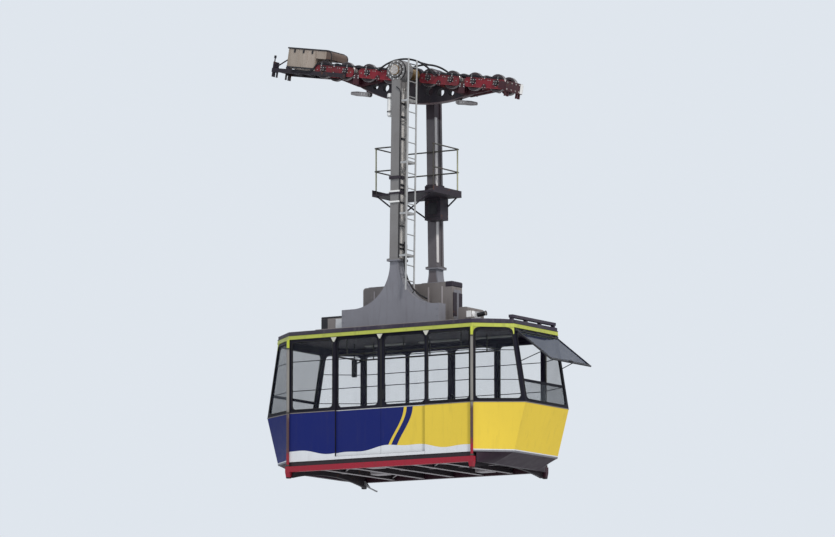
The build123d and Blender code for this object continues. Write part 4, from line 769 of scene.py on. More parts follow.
brake = {"x": 1.23, "low": 0.15, "high": 0.215, "spread": 0.038, "springRadius": 0.022, "wire": 0.0045,
         "turns": 5.5, "perTurn": 14}
springs, shape = [], bmesh.new()
low, high, radius = brake["low"], brake["high"], brake["springRadius"]
count = int(brake["turns"] * brake["perTurn"])
for end in (uphill, downhill):
    for side in (near, far):
        for dx in (-brake["spread"], brake["spread"]):
            centre = Vector((end * brake["x"] + dx, side * line["ropeY"], 0))
            post, coil = tilt @ Matrix.Translation(centre), []
            for k in range(count + 1):
                turn, lift = 2 * math.pi * k / brake["perTurn"], k / count * (high - low - 0.012)
                point = Vector((radius * math.cos(turn), radius * math.sin(turn), low + 0.006 + lift))
                coil.append(tilt @ (centre + point))
            springs.append(coil)
            addTurned(shape, post, [(low - 0.02, 0), (low - 0.02, 0.009), (high + 0.012, 0.009),
                                    (high + 0.012, 0)], 12, "Z")
            addCollar(shape, post, high - 0.004, high + 0.003, 0.006, 0.027, 16)
weld(shape)
beads("brakeSprings", springs, "springPaint", carriageBody, brake["wire"])
finishPiece("brakeSpringPosts", shape, "bareSteel", carriageBody)

piping = {"radius": 0.009, "level": 0.259, "side": 0.303, "caseSide": 0.334, "drop": 0.174, "apart": 0.021,
          "run": (-2.72, -2.26, -2.16, -0.34), "rest": (0.34, 2.12),
          "clips": (-2.05, -1.75, -1.45, -1.0, -0.71, -0.42, 0.42, 0.71, 1.0, 1.45, 1.75, 2.05)}
pipes, clips = [], []
for side in (near, far):
    y, caseY = side * piping["side"], side * piping["caseSide"]
    for z in (piping["level"], piping["level"] + piping["apart"]):
        a, b, c, d = piping["run"]
        run = [(a, caseY, z - piping["drop"]), (b, caseY, z - piping["drop"]), (c, y, z), (d, y, z)]
        pipes.append([tilt @ point for point in bent(run, 0.05)])
        pipes.append([tilt @ Vector((x, y, z)) for x in piping["rest"]])
    y = side * (piping["side"] - 0.006)
    clips += [spot(tilt, (x, y, piping["level"] + 0.004), (0, side, 0), (0, 0, 1)) for x in piping["clips"]]
beads("brakePipes", pipes, "darkPaint", carriageBody, piping["radius"])
battens("pipeClips", clips, "zinc", carriageBody, "galvanised", 0.062, 0.024, 0.022)

case = {"uphill": -2.88, "step": -2.215, "downhill": -1.85, "low": 0.155, "stepLow": 0.372, "top": 0.53,
        "round": 0.09, "lid": 0.022, "half": 0.289, "lidHalf": 0.301, "sheet": 0.003, "capRun": 0.12,
        "tallBattens": (-2.86, -2.65, -2.44, -2.23), "shortBattens": (-2.195, -1.995), "rivetPitch": 0.052,
        "latches": (-2.73, -2.52, -2.31)}
skin, end, top, curve = case["sheet"], case["downhill"], case["top"], case["round"]
capStart, capLow, width = end - case["capRun"], case["stepLow"] - skin, case["half"] + skin
blocks("caseLid", "darkPaint", carriageBody,
       [((case["uphill"] - 0.022, -case["lidHalf"] - 0.002, top - 0.004),
         (end - curve - 0.003, case["lidHalf"] + 0.002, top + case["lid"] + 0.003), 0.006)])
capOutline = [(capStart, capLow), (end + skin, capLow)]
for k in range(9):
    turn = math.radians(90 * k / 8)
    across, up = (curve + skin) * math.cos(turn), (curve + skin) * math.sin(turn)
    capOutline.append((end - curve + across, top - curve + up))
capOutline.append((capStart, top + skin))
shape = bmesh.new()
addUpright(shape, tilt, capOutline, -width, 2 * width)
finishPiece("caseEndCap", shape, "shadedCaseEndSheet", carriageBody)
edges = [[tilt @ Vector((x, side * width, z)) for x, z in capOutline] for side in (near, far)]
beads("caseEndEdges", edges, "darkPaint", carriageBody, 0.009)
tall, short, rivets, latches = [], [], [], []
for side in (near, far):
    y, facing, up = side * (case["half"] + 0.002), (0, side, 0), (0, 0, 1)
    for x in case["tallBattens"]:
        tall.append(spot(tilt, (x, y, (case["low"] + top) / 2), facing, up))
        for m in range(7):
            z = case["low"] + 0.03 + m * case["rivetPitch"]
            rivets.append(spot(tilt, (x, side * (case["half"] + 0.005), z), facing))
    short += [spot(tilt, (x, y, (case["stepLow"] + top) / 2), facing, up) for x in case["shortBattens"]]
    latches += [((x - 0.018, side * case["half"], top - 0.075),
                 (x + 0.018, side * (case["half"] + 0.012), top - 0.01)) for x in case["latches"]]
    latches.append(((case["uphill"], side * case["half"], case["low"] - 0.004),
                    (case["step"], side * (case["half"] + 0.006), case["low"] + 0.022)))
for name, spots, foot in (("caseBattens", tall, case["low"]), ("caseShortBattens", short, case["stepLow"])):
    battens(name, spots, "caseSheet", carriageBody, "case_beige", top - foot, 0.03, 0.006)
bolts("caseRivets", rivets, "caseSheet", carriageBody, 0.01, 0.004)
blocks("caseLatches", "darkPaint", carriageBody, latches)

nose = {"x": 2.263, "half": 0.311, "low": 0.04, "high": 0.24, "skin": 0.003, "deep": 0.021, "grow": 0.002,
        "corner": 0.03, "markerFrom": 0.2, "columns": (-0.285, -0.12, 0.03, 0.16), "rows": (0.075, 0.205)}
shape = bmesh.new()
half, low, high = nose["half"] + nose["grow"], nose["low"] - nose["grow"], nose["high"] + nose["grow"]
face = [(nose["x"] - nose["deep"], y, z)
        for y, z in ((-half, low), (half, low), (half, high), (-half, high))]
addPlate(shape, [tilt @ point for point in bent(face, nose["corner"], closed=True)],
         tilt.to_3x3() @ Vector((nose["deep"] + nose["skin"], 0, 0)))
finishPiece("endPlateSkin", shape, "carriageDarkRed", carriageBody)
blocks("endMarker", "whitePaint", carriageBody,
       [((nose["x"] - 0.024, nose["markerFrom"], nose["low"] + 0.004),
         (nose["x"] + 0.005, nose["half"] + 0.004, nose["high"] + 0.004), 0.008)])
bolts("endPlateBolts", [spot(tilt, (nose["x"] + nose["skin"], y, z), (1, 0, 0))
                        for y in nose["columns"] for z in nose["rows"]],
      "castSteel", carriageBody)

sensor = {"x": -3.17, "y": 0.3, "profile": ((0.238, 0), (0.238, 0.012), (0.31, 0.012), (0.312, 0.024),
                                            (0.36, 0.024), (0.366, 0.018), (0.366, 0))}
rocker = {"side": 0.125, "rows": ((-0.4, 0.045), (-0.28, 0.02), (0.28, 0.02), (0.4, 0.045)),
          "yokeSide": 0.255, "yokeRows": ((-0.045, 0.06), (-0.045, 0.1), (0.045, 0.06), (0.045, 0.1)),
          "socketPlaces": (1.13, 1.19), "socketSide": 0.044, "socketHeight": -0.23}
shape, rockerBolts = bmesh.new(), []
for side in (near, far):  # small sensors on the uphill rope guides
    place = tilt @ Matrix.Translation((sensor["x"], side * sensor["y"], 0))
    addTurned(shape, place, sensor["profile"], 14, "Z")
for end in (uphill, downhill):
    for side in (near, far):
        for y, rows in ((rocker["side"], rocker["rows"]), (rocker["yokeSide"], rocker["yokeRows"])):
            rockerBolts += [spot(tilt, (end * brake["x"] + dx, side * y, z), (0, side, 0)) for dx, z in rows]
    rockerBolts += [spot(tilt, (end * x, side * rocker["socketSide"], rocker["socketHeight"]), (0, side, 0))
                    for x in rocker["socketPlaces"] for side in (near, far)]
finishPiece("guideSensors", shape, "darkPaint", carriageBody)
bolts("rockerBolts", rockerBolts, "bareSteel", carriageBody, 0.018, 0.01)

hoop = {"side": 0.3965, "reach": 0.64, "foot": 0.232, "crown": 0.49, "sleeve": 0.019}
arc = arcHeights(hoop["reach"], hoop["crown"] - hoop["foot"], 24)
sleeves = [[tilt @ Vector((x, side * hoop["side"], hoop["crown"] - drop)) for x, drop in arc]
           for side in (near, far)]
beads("hoopSleeves", sleeves, "hoseBlack", carriageBody, hoop["sleeve"])
print("carriage dressed")


# hanger

legFrame = {side: legPlace(side) for side in (near, far)}
head = {"face": 0.14, "bossFace": 0.17, "boltCircle": 0.172, "bossCircle": 0.115,
        "ring": ((-0.001, 0.137), (-0.001, 0.153), (0.008, 0.151), (0.008, 0.139)),
        "rim": ((-0.02, 0.2155), (-0.001, 0.2155), (0.003, 0.212), (0.003, 0.204), (-0.001, 0.204))}
axle = {"end": 0.82, "proud": 0.008, "boltCircle": 0.062,
        "plate": ((-0.002, 0), (-0.002, 0.09), (0.005, 0.09), (0.008, 0.086), (0.008, 0))}
shape, plates, headBolts, axleBolts = bmesh.new(), bmesh.new(), [], []
for side in (near, far):
    centre = plumb @ Matrix.Translation((0, side * hanger["legTopY"], hanger["axleLevel"]))
    y = side * head["face"]
    addOnFace(shape, centre, y, side, head["ring"], 40)
    addOnFace(shape, centre, y, side, head["rim"], 48)
    headBolts += boltCircle(centre, (0, y, 0), side, head["boltCircle"], 12, 15)
    headBolts += boltCircle(centre, (0, side * head["bossFace"], 0), side, head["bossCircle"], 6, 0)
    centre = tilt @ Matrix.Translation((0, 0, hanger["pivotHeight"]))
    y = side * axle["end"]
    addOnFace(plates, centre, y, side, axle["plate"], 36)
    axleBolts += boltCircle(centre, (0, y + side * axle["proud"], 0), side, axle["boltCircle"], 5, 18)
weld(shape)
finishPiece("headRings", shape, "hoseBlack", hangerBody)
bolts("headBolts", headBolts, "bareSteel", hangerBody, 0.026, 0.013)
finishPiece("axleEndPlates", plates, "castSteel", carriageBody)
bolts("axleEndBolts", axleBolts, "bareSteel", carriageBody, 0.02, 0.01)

bundle = {"x": 0.088, "radius": 0.011, "places": (-0.052, -0.026, 0.0, 0.026, 0.052), "top": -0.35,
          "foot": -3.68, "edge": 0.104, "edgeY": -0.126, "shadowLineConduit": 0.0095,
          "clampLevels": (-0.66, -0.92, -1.35, -2.26, -2.34, -2.6, -3.05, -3.42, -3.5),
          "boxLevels": (-0.66, -2.3, -3.46),
          "farDuct": ((0.094, -0.139, -3.62), (0.118, -0.07, -0.76), 0.006)}
cables = []
for k, y in enumerate(bundle["places"]):
    cable = [(bundle["x"], y, bundle["top"] - 0.05 * (k % 3)), (bundle["x"] + 0.003, y * 1.05, -1.6),
             (bundle["x"], y, -2.5), (bundle["x"] + 0.002, y * 0.96, -3.2), (bundle["x"], y, bundle["foot"])]
    cables.append([legFrame[near] @ point for point in bent(cable, 0.2)])
beads("legCables", cables, "cableGrey", hangerBody, bundle["radius"])
# a dark conduit on the near leg's corner, standing for the shadow line between its lit and shaded faces
shadowLineConduit = bent([(0.02, -0.15, bundle["top"] + 0.02), (bundle["edge"], -0.15, bundle["top"] - 0.05),
                (bundle["edge"], bundle["edgeY"], bundle["top"] - 0.12),
                (bundle["edge"], bundle["edgeY"], bundle["foot"])], 0.05)
beads("legShadowLineConduit", [[legFrame[near] @ point for point in shadowLineConduit]], "darkPaint", hangerBody,
      bundle["shadowLineConduit"])
clamps = [spot(legFrame[near], (0.1, 0, z), (1, 0, 0), (0, 1, 0)) for z in bundle["clampLevels"]]
battens("cableClamps", clamps, "darkPaint", hangerBody, "carriage_dark", 0.15, 0.035, 0.026)
blocks("junctionBoxes", "darkPaint", hangerBody,
       [((0.112, 0.045, z - 0.05), (0.15, 0.125, z + 0.06), 0.006) for z in bundle["boxLevels"]],
       legFrame[near])
# a pale strip on the far leg's lit corner: its white is a painted highlight
blocks("farCableDuct", "ductHighlightPaint", hangerBody, [bundle["farDuct"]], legFrame[far])

canister = {"x": -0.169, "y": -0.0616, "low": -0.895, "high": -0.435, "radius": 0.0635, "strap": 0.0665,
            "strapLevels": (-0.8, -0.53), "strapHalf": 0.012}
place = legFrame[near] @ Matrix.Translation((canister["x"], canister["y"], 0))
low, high, radius = canister["low"], canister["high"], canister["radius"]
shape, straps = bmesh.new(), bmesh.new()
dome = ((0, 0), (0, radius - 0.024), (0.007, radius - 0.01), (0.022, radius))
profile = [(low + z, r) for z, r in dome] + [(high - z, r) for z, r in reversed(dome)]
addTurned(shape, place, profile, 28, "Z")
for z in canister["strapLevels"]:
    addCollar(straps, place, z - canister["strapHalf"], z + canister["strapHalf"], radius - 0.001,
              canister["strap"], 28)
weld(straps)
finishPiece("canisterSleeve", shape, "whitePaint", hangerBody)
finishPiece("canisterStraps", straps, "darkPaint", hangerBody)

joist = {"levels": (-2.385, -2.59), "half": (0.118, 0.017), "y": (-0.166, -0.138)}
(across, up), (front, back) = joist["half"], joist["y"]
blocks("clampPlateHighlights", "whitePaint", hangerBody,  # of the platform's joists, on the near leg; white as a painted highlight where their edges catch light
       [((-across, front, z - up), (across, back, z + up), 0.004) for z in joist["levels"]],
       legFrame[near])

base = {"joint": [(x, y, hanger["flange"]) for x in (-0.118, 0.118) for y in (-0.12, 0, 0.12)],
        "row": [(-1.13 + k * 0.148, cabin["roofTop"] + 0.035) for k in range(15)],
        "corners": [(x, z) for x in (-1.155, 0.975) for z in (2.72, 2.85)]}
baseBolts = []
for side in (near, far):
    middle = side * legY(hanger["jointLevel"])
    centre = plumb @ Matrix.Translation((0, middle, hanger["jointLevel"]))
    outside = middle + side * hanger["baseWidth"] / 2
    baseBolts += [spot(centre, point, (0, 0, 1)) for point in base["joint"]]
    baseBolts += [spot(plumb, (x, outside, z), (0, side, 0)) for x, z in base["row"] + base["corners"]]
bolts("baseBolts", baseBolts, "baseGrey", hangerBody, 0.018, 0.009)

neck = {"radius": 0.85, "rim": 0.026, "thick": 0.008, "low": 3.28, "steps": 9}
bendLevel = hanger["flareLow"] + neck["radius"]
edge = []
for k in range(neck["steps"]):
    z = bendLevel - (bendLevel - neck["low"]) * k / (neck["steps"] - 1)
    spread = neck["radius"] - math.sqrt(neck["radius"] ** 2 - (bendLevel - z) ** 2)
    edge.append((hanger["legX"] / 2 + spread - neck["rim"], z))
for side, look in ((near, "baseGrey"), (far, "shadedNeckPaint")):  # the open back of each base; the far one in a darker grey as painted shade
    shape = bmesh.new()
    y = side * (legY(hanger["jointLevel"]) - hanger["baseWidth"] / 2)
    addUpright(shape, plumb, [(-x, z) for x, z in reversed(edge)] + edge, y, side * neck["thick"])
    finishPiece(f"neckCover_{sideNames[side]}", shape, look, hangerBody)

deck = {"top": 5.22, "x": 0.7, "y": 0.525, "pitch": 0.05, "margin": 0.02, "toe": 0.09, "board": 0.006,
        "postInset": 0.03, "postCorner": 0.072, "postFrom": 0.1, "postTo": 0.9, "sleeve": 0.0155}
x, y, top = deck["x"], deck["y"], deck["top"]
count = int(2 * (x - deck["margin"]) / deck["pitch"])
slats = [spot(plumb, (deck["margin"] - x + k * deck["pitch"], 0, top + 0.004), (0, 0, 1), (0, 1, 0))
         for k in range(count + 1)]
battens("deckGrating", slats, "zinc", hangerBody, "platform_dark", 2 * y - 0.12, 0.012, 0.008)
toeBoards = [((side * x, -y, top - 0.002), (side * (x - deck["board"]), y, top + deck["toe"]))
             for side in (uphill, downhill)]
toeBoards.append(((-x + 0.007, y - deck["board"], top - 0.002), (x - 0.007, y, top + deck["toe"] * 0.6)))
blocks("toeBoards", "platformDark", hangerBody, toeBoards)
x, y, corner = x - deck["postInset"], y - deck["postInset"], deck["postCorner"]
posts = [[plumb @ Vector((px, py, top + z)) for z in (deck["postFrom"], deck["postTo"])]
         for px, py in ((-x, corner - y), (-x, y - corner), (x, y - corner))]
beads("railPosts", posts, "palePostPaint", hangerBody, deck["sleeve"])

# trim of a dark box under the deck, set where the deck's shadow falls on the far leg; box and trim are dark
# as painted shadow
deckShadowBox = {"footRim": ((0.05, 0.222, 4.8), (0.39, 0.518, 4.818)),
               "topRim": ((0.05, 0.222, 5.12), (0.39, 0.518, 5.138)),
               "door": ((0.12, 0.219, 4.86), (0.32, 0.226, 5.09), 0.004)}
blocks("platformBoxTrim", "darkPaint", hangerBody, deckShadowBox.values())

trunk = {"end": 0.92, "half": 0.18, "top": 3.45, "ribs": (-0.86, -0.55, -0.24, 0.07, 0.38, 0.69),
         "middle": 3.0, "rivetFrom": 2.68, "rivetPitch": 0.085, "doors": (-0.1, 0.1),
         "covers": ((-1.02, -0.6), (-0.5, 0.05), (0.2, 0.75)), "coverHalf": 0.15,
         "endPlate": ((0.915, -0.13, 2.72), (0.935, 0.13, 3.3), 0.006)}
end, half, top = trunk["end"], trunk["half"], trunk["top"]
trunkRibs, trunkRivets = [], []
for x in trunk["ribs"]:
    for side in (near, far):
        trunkRibs.append(spot(plumb, (x, side * (half + 0.001), trunk["middle"]), (0, side, 0), (0, 0, 1)))
        trunkRivets += [spot(plumb, (x + 0.05, side * half, trunk["rivetFrom"] + m * trunk["rivetPitch"]),
                             (0, side, 0)) for m in range(8)]
battens("trunkRibs", trunkRibs, "paleEdge", hangerBody, "roof_gear_grey", 0.74, 0.03, 0.006)
bolts("trunkRivets", trunkRivets, "roofGear", hangerBody, 0.01, 0.004)
blocks("trunkCovers", "baseGrey", hangerBody,
       [((a, -trunk["coverHalf"], top - 0.004), (b, trunk["coverHalf"], top + 0.014), 0.005)
        for a, b in trunk["covers"]] + [trunk["endPlate"]])
blocks("trunkEndCap", "platformDark", hangerBody,
       [((end - 0.16, -half - 0.012, top - 0.1), (end + 0.014, half + 0.012, top + 0.012), 0.02)]
       + [((end, y - 0.06, 2.78), (end + 0.022, y + 0.06, 3.24), 0.004) for y in trunk["doors"]])

uphillCase = {"x": (-1.87, -1.3), "half": 0.52, "low": 2.59, "top": 2.89, "panel": 0.15, "door": (0.33, 0.5)}
downhillDoor = ((1.345, -0.2, 2.63), (1.338, 0.2, 2.86))
start, end = uphillCase["x"]
half, low, top = uphillCase["half"], uphillCase["low"], uphillCase["top"]
blocks("uphillCaseLid", "darkPaint", hangerBody,
       [((start - 0.006, -half - 0.006, top - 0.035), (end + 0.006, half + 0.006, top + 0.006), 0.012),
        ((start - 0.004, -half - 0.003, low + 0.002),
         (start + uphillCase["panel"], half + 0.003, top - 0.03), 0.006)])
a, b = uphillCase["door"]
blocks("caseDoors", "trimGrey", hangerBody,
       [((start + a, -half - 0.008, low + 0.03), (start + b, -half + 0.01, top - 0.045), 0.005),
        downhillDoor])

lamp = {"body": ((1.406, -0.484, 2.676), (1.544, -0.356, 2.824), 0.018), "place": (0, -0.42, 2.75),
        "glass": ((1.54, 0), (1.54, 0.056), (1.556, 0.054), (1.558, 0.05), (1.556, 0.0))}
watch = {"place": (1.655, -0.3, 2.7525), "tip": math.radians(-8.4),
         "hood": ((-0.088, 0), (-0.088, 0.03), (-0.08, 0.043), (0.085, 0.044), (0.098, 0.05), (0.098, 0.046),
                  (0.08, 0.038), (0.078, 0))}
blocks("lampBody", "whitePaint", hangerBody, [lamp["body"]])
glassShape, hoodShape = bmesh.new(), bmesh.new()
addTurned(glassShape, plumb @ Matrix.Translation(lamp["place"]), lamp["glass"], 28, "X")
addTurned(hoodShape, plumb @ Matrix.Translation(watch["place"]) @ Matrix.Rotation(watch["tip"], 4, "Y"),
          watch["hood"], 24, "X")
finishPiece("lampGlass", glassShape, "lampLens", hangerBody)
finishPiece("watchCamera", hoodShape, "darkPaint", hangerBody)

strips = {"middle": ((-0.55, -0.25, 2.588), (0.1, 0.3, 2.6), 0.004), "y": (-1.12, 1.12),
          "half": (1.6, 0.035), "z": (2.548, 2.572)}
(along, across), (low, high) = strips["half"], strips["z"]
blocks("roofStrips", "roofGear", hangerBody,  # one in the middle, one along each long side
       [strips["middle"]]
       + [((-along, y - across, low), (along, y + across, high), 0.006) for y in strips["y"]])
print("hanger dressed")


# cabin

bandLow = cabin["height"] - cabin["bandHeight"]
windows = {"low": cabin["belt"] + cabin["sill"], "high": bandLow - cabin["head"],
           "bead": 0.0085, "doorBead": 0.003, "cornerSteps": 5}
bay = cabin["halfLength"] - cabin["doorBay"]  # length of the fixed wall on each side of the doors


def windowLine(wall, margins, proud):
    corners = []
    for z, ends in ((windows["low"], (0, 1)), (windows["high"], (1, 0))):
        reach = wallEnds(wall, z)
        for end in ends:
            corners.append((reach[0] + margins[0] if end == 0 else reach[1] - margins[1], z, 0))
    outline = bent(corners, cabin["windowRadius"], windows["cornerSteps"], True)
    return [plumb @ wallSpot(wall, point.x, point.y, proud) for point in outline]


def addWallStrip(shape, wall, ends, low, high, proud):  # a flat strip on a wall between two heights
    addBar(shape, [[plumb @ wallSpot(wall, u, z, out) for z, out in (
        (low, -0.002), (high, -0.002), (high, proud), (low, proud))] for u in ends])


trim = {"height": 0.016, "proud": 0.004, "level": cabin["belt"]}
footStrip = {"low": 0.0, "high": 0.03, "proud": 0.005}
trimLow, trimHigh = trim["level"] - trim["height"] / 2, trim["level"] + trim["height"] / 2
gaskets, beltShape, footShape = [], bmesh.new(), bmesh.new()
for wall in walls:
    post, mullion = cabin["post"], 2 * cabin["halfLength"] - bay + cabin["mullion"]
    a, b = wallEnds(wall, trim["level"])
    margins, spans = [(post, post)], [(a, b)]
    if wall.startswith("side"):
        margins, spans = [(post, mullion), (mullion, post)], [(a, a + bay), (b - bay, b)]
    else:
        addWallStrip(footShape, wall, wallEnds(wall, footStrip["low"]), *footStrip.values())
    gaskets += [windowLine(wall, pair, 0.002) for pair in margins]
    for span in spans:
        addWallStrip(beltShape, wall, span, trimLow, trimHigh, trim["proud"])
beads("windowGaskets", gaskets, "rubber", hangerBody, windows["bead"], True)
finishPiece("beltTrim", beltShape, "roofGear", hangerBody)
finishPiece("footStrips", footShape, "baseGrey", hangerBody)

gusset = {"places": (-1.0475, 0.0, 1.0475), "width": 0.066, "tip": 0.012, "gap": 0.01, "drop": 0.1,
          "thick": 0.008}
bracket = {"reach": 0.15, "drop": 0.13, "stem": 0.02, "proud": 0.004, "rise": 0.004, "edge": 0.006,
           "steps": 8}
posts = {"x": 2.0848, "y": 1.3733, "radius": 0.028, "collar": 0.034, "levels": (-0.08, 0.94, 2.19),
         "height": 0.03}
gussets, brackets, collars = bmesh.new(), bmesh.new(), bmesh.new()
for side in (near, far):
    for x in gusset["places"]:
        high, low = bandLow - gusset["gap"], bandLow - gusset["drop"]
        outline = [(x - gusset["width"], high), (x + gusset["width"], high), (x + gusset["tip"], low),
                   (x - gusset["tip"], low)]
        addUpright(gussets, plumb, outline, side * cabin["halfWidth"], side * gusset["thick"])
    for end in (uphill, downhill):
        centre = plumb @ Matrix.Translation((end * posts["x"], side * posts["y"], 0))
        for z in posts["levels"]:
            addCollar(collars, centre, z, z + posts["height"], posts["radius"] - 0.001, posts["collar"], 18)
for wall in walls:
    if wall.startswith("corner"):
        for u, hand in zip(wallEnds(wall, bandLow), (1, -1)):
            top = bandLow + bracket["rise"]
            outline = [(u, top), (u + hand * bracket["reach"], top)]
            for k in range(bracket["steps"] + 1):  # hollow edge from the band down to the stem
                t = k / bracket["steps"]
                ease, pull = (1 - t) ** 2, 2 * t * (1 - t)
                across = ease * bracket["reach"] + pull * bracket["stem"] + t * t * bracket["stem"]
                down = ease * bracket["edge"] + pull * bracket["edge"] + t * t * bracket["drop"]
                outline.append((u + hand * across, bandLow - down))
            outline.append((u, bandLow - bracket["drop"]))
            front = [plumb @ wallSpot(wall, v, z, 0.001) for v, z in outline]
            addPlate(brackets, front, outwardOf(wall) * bracket["proud"])
weld(collars)
finishPiece("bandGussets", gussets, "gussetPaint", hangerBody)
finishPiece("cornerBrackets", brackets, "bandGreen", hangerBody)
finishPiece("postCollars", collars, "railingPaint", hangerBody)

flap = {"angle": math.radians(52), "length": 0.96, "frame": 0.04, "thick": 0.026, "tint": 0.0045,
        "hinges": (-0.5, 0.0, 0.5), "hingeHalf": 0.05, "hingeRadius": 0.013}
flapWidth = cabin["endWidth"] - 2 * cabin["post"] + flap["frame"] / 2
hingeX = cabin["halfLength"] + cornerRun(windows["high"]) + flap["thick"] / 2 + 0.0003
hinge = Vector((hingeX, 0, windows["high"]))
flapPlace = plumb @ Matrix.Translation(hinge) @ Matrix.Rotation(-flap["angle"], 4, "Y")
half, low, high = flapWidth / 2 - flap["frame"], flap["frame"] - flap["length"], -flap["frame"]
rim = [(0.012, y, z) for y, z in ((-half, high), (half, high), (half, low), (-half, low))]
beads("flapGasket", [[flapPlace @ point for point in bent(rim, 0.02, 3, True)]], "rubber", hangerBody,
      0.005, True)
blocks("flapTint", "tintedGlass", hangerBody,
       [((-flap["tint"], 0.002 - half, low + 0.002), (flap["tint"], half - 0.002, high - 0.002), 0.001)],
       flapPlace)
shape = bmesh.new()
for y in flap["hinges"]:
    a, b = y - flap["hingeHalf"], y + flap["hingeHalf"]
    addTurned(shape, plumb @ Matrix.Translation((hinge.x + 0.004, 0, hinge.z + 0.018)),
              [(a, 0), (a, flap["hingeRadius"]), (b, flap["hingeRadius"]), (b, 0)], 16)
foot = -flap["length"]
addBlock(shape, flapPlace, (0.012, -0.07, foot + 0.012), (0.034, 0.07, foot + 0.034), 0.005)
finishPiece("flapHinges", shape, "darkPaint", hangerBody)

leafSizes = {"gap": 0.0025, "overlap": 0.035, "stile": 0.07, "proud": 0.0025, "seal": 0.02, "sealLow": 0.96,
             "sealHigh": 2.37, "button": (0.028, 0.058, 1.12, 1.3), "pull": (1.08, 1.42), "pullAt": 0.045,
             "pullReach": 0.04, "pullRadius": 0.009, "threshold": 0.0585}
for side, sideName in sideNames.items():
    face = side * (cabin["halfWidth"] - cabin["doorInset"])
    sunk, proud = face - side * 0.002, face + side * leafSizes["proud"]
    for end, endName in endNames.items():
        leaf, suffix = f"leaf_{sideName}_{endName}", f"_{sideName}_{endName}"
        inner, outer = end * leafSizes["gap"], end * (cabin["doorBay"] + leafSizes["overlap"])
        a, b = sorted((inner + end * (leafSizes["stile"] + 0.0025), outer - end * leafSizes["stile"]))
        rim = [(a, face, windows["low"]), (b, face, windows["low"]), (b, face, windows["high"]),
               (a, face, windows["high"])]
        outline = [plumb @ point for point in bent(rim, cabin["windowRadius"], windows["cornerSteps"], True)]
        beads("leafGasket" + suffix, [outline], "rubber", leaf, windows["doorBead"], True)
        blocks("leafTrim" + suffix, "trimGrey", leaf,
               [((inner, sunk, trimLow), (outer - end * 0.002, proud, trimHigh), 0.001)], plumb)
        shape = bmesh.new()
        a, b, low, high = leafSizes["button"]
        addBlock(shape, plumb, (inner, face - side * 0.003, leafSizes["sealLow"]),
                 (inner + end * leafSizes["seal"], proud, leafSizes["sealHigh"]), 0.001)
        addBlock(shape, plumb, (inner + end * a, sunk, low), (inner + end * b, proud, high), 0.001)
        x, back = inner + end * leafSizes["pullAt"], face - side * 0.035  # grip on the inside
        root, reach = back + side * 0.003, back - side * leafSizes["pullReach"]
        low, high = leafSizes["pull"]
        grip = [(x, root, low), (x, reach, low), (x, reach, high), (x, root, high)]
        addTube(shape, plumb, bent(grip, 0.02), leafSizes["pullRadius"])
        finishPiece("leafEdges" + suffix, shape, "rubber", leaf)
    sill = cabin["doorBay"] - 0.0015
    blocks(f"thresholdSkin_{sideName}", f"side_{sideName}Paint", hangerBody,
           [((-sill, side * (cabin["halfWidth"] - 0.001), 0),
             (sill, side * (cabin["halfWidth"] + 0.002), leafSizes["threshold"]), 0.001)])
print("doors dressed")

under = {"beams": (-1.35, -0.675, 0.0, 0.675, 1.35), "low": -0.18, "half": 1.304, "flange": 0.042,
         "tieX": (-1.69, -1.01, -0.34, 0.34, 1.01, 1.69), "tieY": (-1.02, -0.68, 0.0, 0.68, 1.02),
         "tie": -0.085, "tieSizes": (0.6, 0.035, 0.03), "runHalf": 0.042, "runZ": (-0.096, -0.088),
         "boxHalf": (0.16, 0.14), "boxZ": (-0.17, -0.02),
         "runs": ((-1.97, -1.39), (-1.31, -0.71), (-0.64, -0.04), (0.04, 0.64), (0.71, 1.31), (1.39, 1.97)),
         "runY": (-0.405, 0.405), "boxes": ((-0.34, -0.95), (1.01, 0.9), (-1.01, 0.3)), "brace": -0.14,
         "braces": ((-1.35, -0.675, -1), (-0.675, -1.35, -1), (0.675, 1.35, -1), (1.35, 0.675, -1),
                    (-1.35, -0.675, 1), (0.675, 1.35, 1)), "braceY": (1.25, 0.45), "braceRadius": 0.012}
beamFeet = [spot(plumb, (x, 0, under["low"] + 0.002), (0, 0, -1), (0, 1, 0)) for x in under["beams"]]
battens("beamFeet", beamFeet, "paleEdge", hangerBody, "underframe_grey",
        2 * under["half"], 2 * under["flange"], 0.009)
ties = [spot(plumb, (x, y, under["tie"]), (0, 0, -1), (1, 0, 0))
        for x in under["tieX"] for y in under["tieY"]]
battens("floorTies", ties, "underGrey", hangerBody, "underframe_grey", *under["tieSizes"])
half, (low, high) = under["runHalf"], under["runZ"]
runs = [((a, y - half, low), (b, y + half, high), 0.002) for y in under["runY"] for a, b in under["runs"]]
(halfX, halfY), (low, high) = under["boxHalf"], under["boxZ"]
slung = [((x - halfX, y - halfY, low), (x + halfX, y + halfY, high), 0.01) for x, y in under["boxes"]]
blocks("underTrim", "paleEdge", hangerBody, runs + slung)
braces = [[plumb @ Vector((x, side * y, under["brace"])) for x, y in zip((a, b), under["braceY"])]
          for a, b, side in under["braces"]]
beads("underBraces", braces, "paleEdge", hangerBody, under["braceRadius"])

